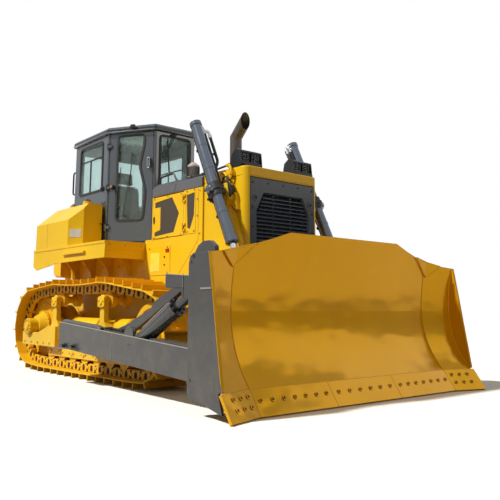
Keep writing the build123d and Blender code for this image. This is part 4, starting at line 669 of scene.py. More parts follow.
def cab_side(s, x, z, out=0.0):
    """A place on the outer face of the cab's side wall."""
    return at(x, s * (0.700 + 0.02703 * (x - REAR_X) + out), z)


def cab_door(s, u, z, out=0.0):
    """A place on a cab door: u runs forward from the pillar."""
    return at(1.21 + 0.8575 * u + 0.5145 * out, s * (0.73 - 0.5145 * u + 0.8575 * out), z)


for label, x, half, high, way in (("front", FRONT_X, 0.258, 3.33, X), ("rear", REAR_X, 0.56, 3.30, -X)):
    loop = soft_loop([at(x, y, z) for y, z in corners(-half, 2.56, half, high)], 0.055)
    seal = ring_on(loop, SEAL_WIDTH, way, SEAL_HIGH)
    seal.make(f"seal_{label}", "rubber", slot="cab_plastic")

for side, s in SIDES:
    out = Vector((-0.02702, s * 0.99963, 0))
    loop = soft_loop([cab_side(s, x, z) for x, z in SIDE_PANE], 0.058)
    seal = ring_on(loop, SEAL_WIDTH, out, SEAL_HIGH)
    seal.make(f"seal_side_{side}", "rubber", slot="cab_plastic")
    bars = Form()
    for depth, thick, shape in ((-0.016, 0.012, (0.325, 3.085, 1.035, 3.107)),
                                (-0.017, 0.014, (0.630, 2.60, 0.656, 3.090))):
        bars.slab([cab_side(s, x, z, depth) for x, z in corners(*shape)], out, thick)
    bars.make(f"window_bars_{side}", "rubber", slot="cab_plastic", bevel=0.002)
    latch = Form()
    for x, z in ((1.085, 2.60), (1.12, 2.08)):
        base = cab_side(s, x, z)
        latch.turn(base, out, [(0.0, 0.030), (0.022, 0.030), (0.030, 0.024)], 12)
        latch.tube([base + out * 0.02, base + out * 0.055 + X * 0.03,
                    base + out * 0.06 + X * 0.075 - Z * 0.01], 0.011, 8, 0.02)
        latch.slab([base + X * dx + Z * dz for dx, dz in corners(-0.05, -0.035, 0.035, 0.035)],
                   out, 0.012)
    latch.make(f"latch_{side}", "rubber", bevel=0.002)

    body = f"cab_door_{side}"
    out = Vector((0.5145, s * 0.8575, 0))
    loop = soft_loop([cab_door(s, u, z) for u, z in DOOR_PANE], 0.060)
    seal = ring_on(loop, SEAL_WIDTH, out, SEAL_HIGH)
    seal.make(f"seal_door_{side}", "rubber", body, "cab_plastic")
    handle = Form()
    handle.bolts([cab_door(s, 0.676, z, 0.042) for z in (2.855, 2.965)], out, 0.020, 0.006, False)
    handle.turn(cab_door(s, 0.105, 2.60), out, [(0.0, 0.034), (0.03, 0.034), (0.05, 0.026)], 14)
    for z in (2.020, 2.595, 3.200):
        handle.slab([cab_door(s, u, z + dz, 0.001) for u, dz in corners(0.016, -0.055, 0.052, 0.055)],
                    out, 0.005)
        handle.bolts([cab_door(s, 0.036, z + dz, 0.006) for dz in (-0.03, 0.03)], out, 0.014, 0.006,
                     False)
    handle.make(f"door_handle_{side}", "rubber", body, bevel=0.0015)
    loop = soft_loop([cab_door(s, u, z, 0.0445) for u, z in corners(0.660, 2.845, 0.692, 2.991)],
                     0.012, 4)
    ring_on(loop, 0.007, out, 0.004).make(f"handle_rim_{side}", "zinc", body)
    knob = Form()
    knob.turn(cab_door(s, 0.105, 2.60, 0.05), out, [(-0.004, 0.017), (0.014, 0.017), (0.020, 0.010)],
              14)
    knob.make(f"door_lock_{side}", "copper", body, bevel=0.001)
    loop = soft_loop([cab_door(s, u, z, -0.003) for u, z in corners(0.032, 1.812, 0.728, 3.378)], 0.03)
    ring_on(loop, 0.012, out, 0.005).make(f"door_gasket_{side}", "rubber", body, "cab_plastic")
    wiper = Form()
    pivot = cab_door(s, 0.30, 2.185, 0.006)
    wiper.turn(pivot, out, [(0.0, 0.024), (0.016, 0.022), (0.022, 0.012)], 12)
    wiper.tube([pivot + out * 0.014, pivot + out * 0.022 + Z * 0.08, cab_door(s, 0.385, 2.80, 0.012)],
               0.006, 8, 0.03)
    wiper.tube([cab_door(s, 0.365, 2.52, 0.006), cab_door(s, 0.400, 3.08, 0.006)], 0.0075, 6)
    wiper.make(f"wiper_door_{side}", "rubber", body)

# The front wiper hangs from above the glass, and the rear one stands below it.
# Each row: the wall and its outward sign, both pivots, the arm's tip, the blade's ends and radius.
WIPERS = (("front", FRONT_X, 1, (-0.020, 3.365), (-0.068, 3.352), (-0.190, 3.040), (-0.148, 3.285),
           (-0.108, 2.800), 0.011),
          ("rear", REAR_X, -1, (0.020, 2.500), (0.050, 2.500), (0.095, 2.930), (0.055, 2.680),
           (0.130, 3.200), 0.008))
for label, x, s, pivot, second, tip, blade_a, blade_b, radius in WIPERS:
    tip = at(x + s * 0.032, *tip)
    blade_a, blade_b = at(x + s * 0.016, *blade_a), at(x + s * 0.016, *blade_b)
    wiper = Form()
    for root in (pivot, second):
        root = at(x, *root)
        wiper.turn(root, X * s, [(0.0, 0.026), (0.022, 0.025), (0.030, 0.016)], 12)
        bow = (root + X * (s * 0.040)).lerp(tip + X * (s * 0.002), 0.25)
        wiper.tube([root + X * (s * 0.022), bow, tip], 0.008, 8, 0.03)
    wiper.tube([tip, blade_a.lerp(blade_b, 0.5) + X * (s * 0.006)], 0.009, 8)
    wiper.tube([blade_a, blade_b], radius, 6)
    wiper.make(f"wiper_{label}", "rubber")

rim = ((0.065, 0.735), (1.23, 0.768), (1.895, 0.378))
gutter = Form()
gutter.tube(soft_loop(level(-1, 3.400, *rim) + level(1, 3.400, *reversed(rim)), 0.05, 4), 0.010, 8,
            closed=True)
gutter.make("roof_gutter", "cab_paint")
brackets = Form()
for side, s in SIDES:
    middle, edge = at(1.60, s * 0.552, 3.4550), Vector((0.8575, s * -0.5145, 0.0))
    brackets.slab([middle + edge * u + Z * w for u, w in
                   ((-0.045, -0.020), (0.045, -0.020), (0.030, 0.029), (-0.030, 0.029))],
                  (0.5145, s * 0.8575, 0.0), 0.030)
brackets.make("roof_brackets", "black_paint", bevel=0.002)


# Undercarriage: chain, shoe bolts, final drives and track frames

IDLER_X, IDLER_Z, SPROCKET_Z = 3.1109, 0.584, 0.620
CARRIERS = (0.77, 2.13)
TRACK_Y = 1.0
PINS = [(-0.464, 0.620), (-0.415, 0.412), (-0.277, 0.248), (-0.080, 0.163), (0.135, 0.149),
        (0.351, 0.138), (0.567, 0.137), (0.783, 0.137), (0.999, 0.137), (1.215, 0.137),
        (1.431, 0.137), (1.647, 0.137), (1.863, 0.137), (2.079, 0.137), (2.295, 0.137),
        (2.511, 0.137), (2.727, 0.137), (2.943, 0.142), (3.158, 0.148), (3.359, 0.222),
        (3.501, 0.382), (3.550, 0.590), (3.495, 0.797), (3.349, 0.953), (3.146, 1.022),
        (2.932, 1.050), (2.718, 1.077), (2.504, 1.105), (2.289, 1.132), (2.075, 1.149),
        (1.859, 1.137), (1.643, 1.129), (1.427, 1.127), (1.211, 1.131), (0.996, 1.139),
        (0.780, 1.152), (0.565, 1.135), (0.350, 1.116), (0.134, 1.098), (-0.081, 1.077),
        (-0.277, 0.992), (-0.415, 0.828)]
# Outlines of a link plate and of the two patches of painted shade on it, where the gaps between links
# show shade: along the chain, then outwards.
LINK_PLATE = ((-0.040, 0.005), (-0.030, -0.026), (0.0, -0.040), (0.04, -0.043), (0.176, -0.034),
              (0.190, -0.012), (0.190, 0.040), (0.150, 0.053), (0.04, 0.053), (-0.03, 0.036))
LINK_GAP_SHADE = (((0.060, 0.030), (0.066, -0.016), (0.084, -0.034), (0.108, -0.034), (0.124, -0.016),
              (0.130, 0.030), (0.112, 0.044), (0.078, 0.044)),
             ((0.172, 0.050), (0.176, 0.010), (0.190, -0.030), (0.196, -0.046), (0.218, -0.046),
              (0.216, 0.020), (0.214, 0.050)))

for side, s in SIDES:
    bolts, plates, bushes, gap_shade = Form(), Form(), Form(), Form()
    for (ax, az), (bx, bz) in zip(PINS, PINS[1:] + PINS[:1]):
        size = hypot(bx - ax, bz - az)
        way = Vector(((bx - ax) / size, 0, (bz - az) / size))
        out = Vector((way.z, 0, -way.x))
        pin = at(ax, s * TRACK_Y, az)
        bolts.bolts([pin + way * along + out * 0.072 + Y * y for y in (-0.108, 0.108)
                     for along in (0.082, 0.164)], out, 0.034, 0.016, False)
        bushes.turn(pin - Y * 0.079, Y, [(0, 0.031), (0.158, 0.031)], 12)
        for end in (-Y, Y):
            face = pin + end * 0.1355
            bushes.turn(face, end, [(-0.01, 0.021), (0.016, 0.021), (0.018, 0.017)], 10)
            plates.slab([face + way * u + out * v for u, v in LINK_PLATE], end, 0.008)
            for gap in LINK_GAP_SHADE:
                gap_shade.slab([face + way * u + out * v for u, v in gap], end, 0.0092)
    # Near-black slabs of painted shade on the link faces, where the gaps hold shadow.
    gap_shade.make(f"chain_gap_shade_{side}", "soil_and_shade")
    bolts.make(f"shoe_bolts_{side}", "track_steel")
    bushes.make(f"chain_pins_{side}", "track_steel")
    plates.make(f"chain_plates_{side}", "track_steel")

    out = Y * s
    centre = at(0, 0, SPROCKET_Z)
    hub = Form()
    for y, radius, count, start, size, high in (
            (1.305, 0.094, 12, 0.5, 0.026, 0.014), (1.072, 0.2245, 24, 0.0, 0.020, 0.011),
            (1.030, 0.335, 27, 0.5, 0.030, 0.014)):
        hub.bolts(circle(centre + out * y, X, Z, radius, count, start), out, size, high)
    hub.bolts(circle(centre + out * 0.970, X, Z, 0.335, 27, 0.5), -out, 0.030, 0.014)
    hub.turn(centre + out * 1.305, out, [(-0.002, 0.060), (0.012, 0.060), (0.020, 0.046),
                                         (0.022, 0.020)], 20)
    hub.make(f"drive_bolts_{side}", "yellow_paint")
    drum = Form()
    drum.turn(centre + out * 0.615, out, [(0.0, 0.18), (0.0, 0.30), (0.02, 0.315), (0.15, 0.315),
                                          (0.18, 0.285), (0.18, 0.18)], 48)
    drum.bolts(circle(centre + out * 0.795, X, Z, 0.255, 18), out, 0.024, 0.012)
    drum.make(f"drive_drum_{side}", "yellow_paint", bevel=0.004)

    trim = Form()
    for k in range(7):
        for end in (-Y, Y):
            face = at(0.540 + 2.020 * k / 6, s * TRACK_Y, 0.293) + end * 0.168
            trim.bolts([face - X * 0.06, face + X * 0.06], end, 0.026, 0.013)
            trim.turn(face, end, [(-0.002, 0.036), (0.008, 0.036), (0.011, 0.028)], 14)
    for x in CARRIERS:
        trim.bolts(grid((x - 0.05, x + 0.05), s * 1.2525, (0.985, 0.910)), out, 0.022, 0.011)
        trim.turn(at(x, s * 1.252, 0.955), out, [(-0.001, 0.026), (0.010, 0.026), (0.014, 0.018)], 14)
        trim.bolts(grid((x - 0.10, x + 0.10), s * 1.20, 0.640), Z, 0.026, 0.013)
    for x in (1.07, 1.77, 2.22, 2.53):
        trim.turn(at(x, s * TRACK_Y, 0.640), X, collar(0.1262, 0.133, 0.024, -0.012), 40)
    trim.bolts(grid((-0.15, 0.08, 0.30, 0.50, 0.70), s * 1.265, 0.405), out, 0.028, 0.014)
    trim.bolts(grid((IDLER_X - 0.05, IDLER_X + 0.05), s * 1.185, (IDLER_Z - 0.045, IDLER_Z + 0.045)),
               out, 0.024, 0.012)
    trim.turn(at(IDLER_X, s * 1.196, IDLER_Z), out, [(-0.002, 0.034), (0.006, 0.034),
                                                     (0.010, 0.026)], 16)
    trim.make(f"frame_bolts_{side}", "yellow_paint")


# Hood and its sides: intake screens, bolts, latches, rails, caps and blank labels

SHEET, COVER = 0.600, 0.605     # y of the side sheets and of the covers on them
HOOD_TOP, GUARD_TOP = 2.515, 2.484
STACK = at(3.23, 0, 0)
DOOR_SCREEN = [(2.300, 2.262), (2.690, 2.290), (2.850, 2.070), (2.735, 1.840), (2.300, 1.815),
               (2.300, 1.870), (2.430, 1.895), (2.430, 2.190), (2.300, 2.190)]
SLOT_SCREEN = [(3.013, 2.276), (3.179, 2.291), (3.165, 2.011), (3.087, 1.847), (3.035, 1.864)]
BRIDGE = ((-0.008, 0), (-0.004, -0.0045), (0.004, -0.0045), (0.008, 0), (0.004, 0.0045),
          (-0.004, 0.0045))
DOOR_STUDS = ((2.29, 2.31), (2.60, 2.315), (2.90, 2.31), (2.29, 1.80), (2.60, 1.80), (2.90, 1.80))
PANEL_STUDS = ((3.03, 2.315), (3.17, 2.325), (3.03, 1.82), (3.17, 1.82), (3.235, 2.2), (3.235, 2.0),
               (3.285, 2.30), (3.285, 1.78), (2.16, 1.20), (2.70, 1.22), (3.10, 1.24))


def inside(point, ring):
    x, z = point
    hit = False
    for (ax, az), (bx, bz) in zip(ring, ring[1:] + ring[:1]):
        if (az > z) != (bz > z) and x < ax + (z - az) * (bx - ax) / (bz - az):
            hit = not hit
    return hit


def screen(name, ring, body, s):
    """Perforated sheet in a recess: a solid plate with rows of small raised bridges; its dark colour in
    place of the holes is painted shade.
    """
    sheet = Form().slab(upright(s, SHEET - 0.0075, *ring), Y * s, 0.0025)
    xs, zs = [p[0] for p in ring], [p[1] for p in ring]
    step, row = 0.021, 0
    z = min(zs) + 0.012
    while z < max(zs):
        x = min(xs) + (step / 2 if row % 2 else 0.004)
        while x < max(xs):
            if all(inside((x + dx, z + dz), ring) for dx in (-0.011, 0.011) for dz in (-0.008, 0.008)):
                bridge = [(x + dx, z + dz) for dx, dz in BRIDGE]
                sheet.slab(upright(s, SHEET - 0.005, *bridge), Y * s, 0.002)
            x += step
        z += 0.0125
        row += 1
    sheet.make(name, "mesh", body)


for side, s in SIDES:
    out, door = Y * s, f"engine_door_{side}"
    screen(f"door_screen_{side}", DOOR_SCREEN, door, s)
    screen(f"slot_screen_{side}", SLOT_SCREEN, "machine", s)
    studs = Form().bolts(upright(s, SHEET, *DOOR_STUDS), out, 0.020, 0.010)
    studs.make(f"door_bolts_{side}", "copper", door)
    studs = Form().bolts(upright(s, SHEET, *PANEL_STUDS), out, 0.020, 0.010)
    studs.bolts(grid((2.20, 2.62), s * COVER, (1.34, 1.66)), out, 0.020, 0.010)
    studs.make(f"panel_bolts_{side}", "copper")
    label = Form().plate(s, 0.6052, 2.22, 1.36, 2.44, 1.60, 0.0012)
    label.make(f"blank_label_{side}", "label", bevel=0.0006)
    latch = Form().plate(s, SHEET, 2.278, 1.985, 2.300, 2.075, 0.008)
    latch.plate(s, SHEET + 0.008, 2.282, 2.02, 2.296, 2.068, 0.006)
    latch.make(f"door_latch_{side}", "black_paint", door, bevel=0.002)
    catch = Form().plate(s, COVER, 2.585, 1.60, 2.655, 1.64, 0.012)
    catch.make(f"cover_catch_{side}", "red", slot="black_paint", bevel=0.003)
    locks = Form()
    for place in grid(2.552, s * COVER, (1.44, 1.54)):
        locks.turn(place, out, [(-0.001, 0.012), (0.006, 0.012), (0.008, 0.008)], 12)
    locks.make(f"cover_locks_{side}", "black_paint")

hood = Form().bolts(grid((2.34, 2.72, 3.10), (-0.36, 0.36), HOOD_TOP), Z, 0.022, 0.010)
for x, y in product((2.30, 2.60), (-0.22, 0.22)):
    hood.tube(upright(1, y, (x, 2.513), (x, 2.552), (x + 0.13, 2.552), (x + 0.13, 2.513)), 0.007, 8,
              0.015)
hood.make("hood_bolts", "band_paint")
rails = Form()
for y in (-0.50, 0.50):
    rails.tube(upright(1, y, (2.262, 2.512), (2.262, 2.618), (2.560, 2.632), (2.655, 2.512)), 0.014, 12,
               0.035)
for place in grid((2.262, 2.655), (-0.50, 0.50), 2.514):
    rails.turn(place, Z, [(-0.001, 0.032), (0.006, 0.032)], 14)
rails.make("hood_rails", "black_paint", bevel=0.001)
guard = Form()
for x, y in ((3.44, 0.42), (3.70, 0.47), (4.04, 0.10)):
    guard.bolts(grid(x, (-y, y), GUARD_TOP), Z, 0.024, 0.011)
guard.make("guard_bolts", "yellow_paint")
cap = Form()
cap.turn(at(3.62, 0.0, GUARD_TOP), Z, [(-0.002, 0.070), (0.016, 0.070), (0.018, 0.052),
                                       (0.034, 0.052), (0.040, 0.044)], 24)
cap.make("radiator_cap", "black_paint", bevel=0.001)
clamp = Form()
clamp.turn(STACK + Z * 2.64, Z, collar(0.0765, 0.082, 0.022), 40)
clamp.plate(-1, 0.080, 3.218, 2.638, 3.242, 2.664, 0.03)
clamp.bolt(at(3.242, -0.098, 2.651), X, 0.014, 0.010, False)
clamp.bolts(circle(STACK + Z * 2.545, X, Y, 0.090, 6), Z, 0.016, 0.009)
clamp.make("exhaust_clamp", "zinc", slot="black_paint")
vanes = Form()
for k in range(40):
    a = 2 * pi * k / 40
    out, along = Vector((cos(a), sin(a), 0)), Vector((-sin(a), cos(a), 0))
    foot = at(2.66, -0.25, 2.60) + out * 0.0805
    vanes.slab([foot + along * e + Z * z for e, z in corners(-0.003, 0, 0.003, 0.13)], out, 0.003)
vanes.make("precleaner_vanes", "black_paint")


# Blade: edge bolts, lining of the side plates, top strip, corner plates, welds and arm fittings

SWEEP = 0.31338     # how far the wings come forward for each metre outwards
FOLD_Y = 1.447      # where the wings begin
ARM_UP = (0.067, 0, 1)
EDGE_TIP, EDGE_UP = Vector((5.316, 0, 0.029)), Vector((-0.560, 0, 0.829))
EDGE_OUT = Vector((0.829, 0, 0.560))
BOARD_TOP = ((0.823, 1.621), (1.021, 1.556), (1.236, 1.494), (1.447, 1.447), (1.653, 1.405),
             (1.846, 1.383))
BOARD_LOW = ((0.860, 1.590), (1.021, 1.530), (1.236, 1.462), (1.447, 1.385), (1.653, 1.380),
             (1.846, 1.370))
FOLD = ((FOLD_Y, 1.4486), (FOLD_Y, 1.2962))
PATCHES = (((1.236, 1.494), FOLD[0], FOLD[1]), (FOLD[0], (1.650, 1.405), (1.475, 1.270), FOLD[1]))
PATCH_RIM = ((1.236, 1.492), (FOLD_Y, 1.447), (1.648, 1.404), (1.475, 1.272), (FOLD_Y, 1.298))


def board_x(z, y=0.0):
    """How far forward the blade's face stands."""
    r = 1.980 if z > 0.88 else 0.9556
    return 4.915 + r - (r * r - (z - 0.88) ** 2) ** 0.5 + max(0.0, abs(y) - FOLD_Y) * SWEEP


def on_board(s, y, z, out):
    return at(board_x(z, y) + out, s * y, z)


# The dark discs on the edge bolts' heads are painted shade for the shadow in their sunk sockets.
heads, socket_shade = Form(), Form()
for s in (-1, 1):
    face = EDGE_UP.cross(Vector((SWEEP, s, 0))).normalized()
    face = face if face.x > 0 else -face
    spots = [(EDGE_OUT, EDGE_UP * 0.130 + Y * (s * y))
             for y in [0.0775, 0.2325, 0.3875] + [0.560 + 0.1365 * k for k in range(7)]]
    spots += [(face, EDGE_UP * up + Vector(((y - 1.4485) * SWEEP, s * y, 0)))
              for y in (1.520, 1.625, 1.730) for up in (0.085, 0.180)]
    for out, spot in spots:
        place = at(*(EDGE_TIP + spot))
        heads.turn(place, out, [(-0.001, 0.021), (0.0012, 0.021), (0.0018, 0.017)], 14)
        socket_shade.turn(place, out, [(0.0008, 0.0125), (0.0021, 0.0125)], 10)
heads.make("edge_bolts", "gold_paint", "blade")
socket_shade.make("edge_bolt_socket_shade", "soil_and_shade", "blade", "black_paint")

for side, s in SIDES:
    out = Y * s
    lining = Form()
    curve = [(board_x(z, 1.8235) + 0.0015, z) for z in [0.245 + 0.0805 * k for k in range(15)]]
    lining.slab(upright(s, 1.8250, *curve, (5.1105, 1.376), (5.294, 0.243)), -out, 0.0016)
    lining.slab(upright(s, 1.8240, (5.2945, 0.242), (5.2965, 0.242), (5.1135, 1.379), (5.1115, 1.379)),
                out, 0.0275)
    lining.slab(upright(s, 1.8510, (5.2800, 0.300), (5.2860, 0.300), (5.1120, 1.372), (5.1060, 1.372)),
                out, 0.0010)
    lining.make(f"wing_lining_{side}", "gold_paint", "blade")
    strip, patch, rim = Form(), Form(), Form()
    rows = list(zip(BOARD_TOP, BOARD_LOW))
    for (a, b), (c, d) in zip(rows, rows[1:]):
        strip.slab([on_board(s, *spot, 0.0) for spot in (a, b, d, c)], -X, 0.016)
    strip.make(f"blade_top_{side}", "gold_paint", "blade")
    for ring in PATCHES:
        patch.slab([on_board(s, *spot, 0.016) for spot in ring], -X, 0.026)
    patch.make(f"corner_patch_{side}", "gold_paint", "blade")
    rim.tube([on_board(s, *spot, 0.014) for spot in PATCH_RIM], 0.006, 8, 0.012, closed=True)
    rim.tube([on_board(s, 1.8195, 0.25 + 0.08 * k, 0.003) for k in range(15)], 0.006, 8)
    rim.tube([on_board(s, FOLD_Y, 0.235 + 0.0755 * k, 0.002) for k in range(15)], 0.0035, 6)
    rim.make(f"blade_welds_{side}", "gold_paint", "blade")

    beads = Form().plate(s, 1.849, 5.000, 1.062, 5.150, 1.078, 0.007)
    for y, radius, sides, spots in (
            (1.660, 0.0035, 6, ((3.160, 0.634), (3.160, 0.34))),
            (1.676, 0.0035, 6, ((4.486, 1.222), (4.486, 1.098))),
            (1.658, 0.0065, 8, ((1.905, 0.7195), (2.00, 0.7135), (4.78, 0.5265))),
            (1.673, 0.005, 8, ((4.200, 1.2265), (4.786, 1.1855)))):
        beads.tube(upright(s, y, *spots), radius, sides)
    beads.make(f"arm_welds_{side}", "arm_edge", "blade")
    # Black discs on the side plate: painted shade standing for its holes.
    dark = Form()
    for x, z, radius, sides in ((4.894, 1.351, 0.020, 16), (4.862, 1.300, 0.012, 12),
                                (4.862, 0.30, 0.012, 12)):
        dark.turn(at(x, s * 1.850, z), out, [(-0.002, radius), (0.0015, radius)], sides)
    dark.make(f"plate_hole_shade_{side}", "black_paint", "blade")

    arm = Form()
    arm.tube(upright(s, 1.612, (1.93, 0.722), (2.06, 0.716), (2.800, 0.667), (2.830, 0.645)), 0.040,
             16, 0.03)
    arm.slab([at(x, s * y, z) for x, y, z in ((3.86, 1.485, 0.5885), (3.86, 1.625, 0.5885),
                                              (4.62, 1.625, 0.5375), (4.62, 1.485, 0.5375))],
             ARM_UP, 0.014)
    arm.slab(level(s, 0.418, (1.870, 1.655), (1.870, 1.715), (1.920, 1.735), (2.340, 1.735),
                   (2.420, 1.655)), Z, 0.016)
    for x in (2.02, 2.26):
        arm.tube([at(x + dx, s * y, z) for dx, y, z in ((-0.07, 1.655, 0.462), (-0.05, 1.705, 0.470),
                                                        (0.05, 1.705, 0.470), (0.07, 1.655, 0.462))],
                 0.010, 8, 0.03)
        arm.slab(upright(s, 1.660, (x - 0.03, 0.434), (x + 0.03, 0.434), (x + 0.02, 0.466),
                         (x - 0.02, 0.466)), out, 0.04)
    arm.make(f"arm_fittings_{side}", "grey_paint", "blade", bevel=0.002)
    grip = Form()
    for k in range(26):
        x, y = 3.90 + 0.027 * k, 1.505 if k % 2 else 1.565
        grip.slab(level(s, 0.6025 - 0.0671 * (x - 3.86), *corners(x, y, x + 0.012, y + 0.04)), ARM_UP,
                  0.003)
    grip.make(f"arm_tread_{side}", "arm_edge", "blade")
    pipe = Form()
    pipe.tube(upright(s, 1.500, (2.70, 0.650), (2.76, 0.678), (3.18, 0.650), (3.30, 0.690),
                      (3.36, 0.680), (3.385, 0.640)), 0.013, 10, 0.05)
    for x, z in ((2.86, 0.671), (3.12, 0.654)):
        pipe.plate(s, 1.483, x - 0.015, z - 0.024, x + 0.015, z + 0.016, 0.034)
    pipe.make(f"arm_pipe_{side}", "black_paint", "blade")


# Tilt cylinder on the right arm, and brace on the left one

TILT_WAY, TILT_UP = Vector((0.8777, 0, 0.4793)), Vector((-0.4793, 0, 0.8777))
TILT_LONG = 1.1622


def on_tilt(s, t, up=0.0):
    """A place along the cylinder or the brace: t runs from 0 at the arm to 1 at the blade."""
    return at(3.520, s * 1.552, 0.528) + TILT_WAY * (TILT_LONG * t) + TILT_UP * up


for side, s in SIDES:
    links = Form()
    for place, end in product((on_tilt(s, 0.0), on_tilt(s, 1.0)), (-Y, Y)):
        links.turn(place + end * 0.0865, end, [(-0.004, 0.046), (0.014, 0.046), (0.018, 0.040)], 18)
        head = place + end * 0.1045
        links.bolts([head - X * 0.022, head + X * 0.022], end, 0.016, 0.008, False)
    links.make(f"tilt_pins_{side}", "grey_paint", "blade", bevel=0.001)
collars = Form()
for t in (0.18, 0.78):
    collars.turn(on_tilt(1, t), TILT_WAY, collar(0.0515, 0.062, 0.034), 24)
    collars.bolt(on_tilt(1, t, 0.060) + TILT_WAY * 0.017, TILT_UP, 0.022, 0.014)
collars.make("brace_collars", "grey_paint", "blade", bevel=0.001)
trim = Form()
for start, end, radius in ((0.105, 0.120, 0.0875), (0.645, 0.656, 0.089)):
    trim.turn(on_tilt(-1, start), TILT_WAY, collar(0.0829, radius, (end - start) * TILT_LONG), 32)
trim.bolts(circle(on_tilt(-1, 0.70), Y, TILT_UP, 0.073, 8, 0.5), TILT_WAY, 0.020, 0.012)
trim.make("tilt_cylinder_trim", "grey_paint", "blade")
# This pipe's pale grey partly stands for the highlight along the cylinder's top: painted highlight.
pipe = Form()
pipe.tube([on_tilt(-1, 0.15, 0.078), on_tilt(-1, 0.15, 0.104), on_tilt(-1, 0.61, 0.104),
           on_tilt(-1, 0.61, 0.080)], 0.010, 10, 0.03)
for t, foot, head, low, high, wide in ((0.15, 0.022, 0.018, 0.078, 0.098, 0.026),
                                       (0.61, 0.022, 0.018, 0.078, 0.098, 0.026),
                                       (0.400, 0.015, 0.015, 0.080, 0.116, 0.020)):
    pipe.slab([on_tilt(-1, t - foot, low), on_tilt(-1, t + foot, low), on_tilt(-1, t + head, high),
               on_tilt(-1, t - head, high)], Y, wide)
pipe.make("tilt_cylinder_pipe", "arm_edge", "blade")


# Lift cylinders, the yokes' housings, pipes on the guard and hood, and work lamps

LIFT_WAY, LIFT_REAR = Vector((0.429847, 0, -0.902902)), Vector((-0.902902, 0, -0.429847))
YOKE_X, YOKE_Z = 3.850, 2.200
# The two rigid lines at each barrel: distance inwards, top end, then the rest of the way.
LINES = ((-0.095, -0.905, ((-0.10, 0.0, -0.095), (-0.03, 0.05, -0.070))),
         (-0.165, -0.860, ((-0.42, 0.0, -0.165), (-0.33, 0.03, -0.120), (-0.10, 0.045, -0.118),
                           (-0.03, 0.07, -0.080))))
# Blocks under the barrel's pipes: their places along it, half the length at foot and head, how far
# rearwards they start and end, place across, width.
CLIPS = (((-0.885, 0.610), 0.028, 0.022, 0.055, 0.080, -0.02, 0.040),
         ((-0.608, -0.288, 0.292), 0.016, 0.016, 0.062, 0.106, -0.018, 0.036),
         ((0.0,), 0.105, 0.085, 0.090, 0.128, -0.035, 0.060))
GUARD_PIPES = (((3.800, 0.604, 2.515), (3.860, 0.618, 2.515), (3.900, 0.622, 2.455),
                (3.900, 0.628, 2.360), (3.870, 0.640, 2.330)),
               ((3.660, 0.604, 2.445), (3.780, 0.625, 2.430), (3.830, 0.635, 2.400),
                (3.845, 0.640, 2.330)))
LAMP_X, LAMP_Z = 3.990, 2.599


def on_lift(s, along, rear=0.0, out=0.0):
    """A place at a lift cylinder: along it from the yoke towards the blade, rearwards, outwards."""
    return at(YOKE_X, s * (0.800 + out), YOKE_Z) + LIFT_WAY * along + LIFT_REAR * rear


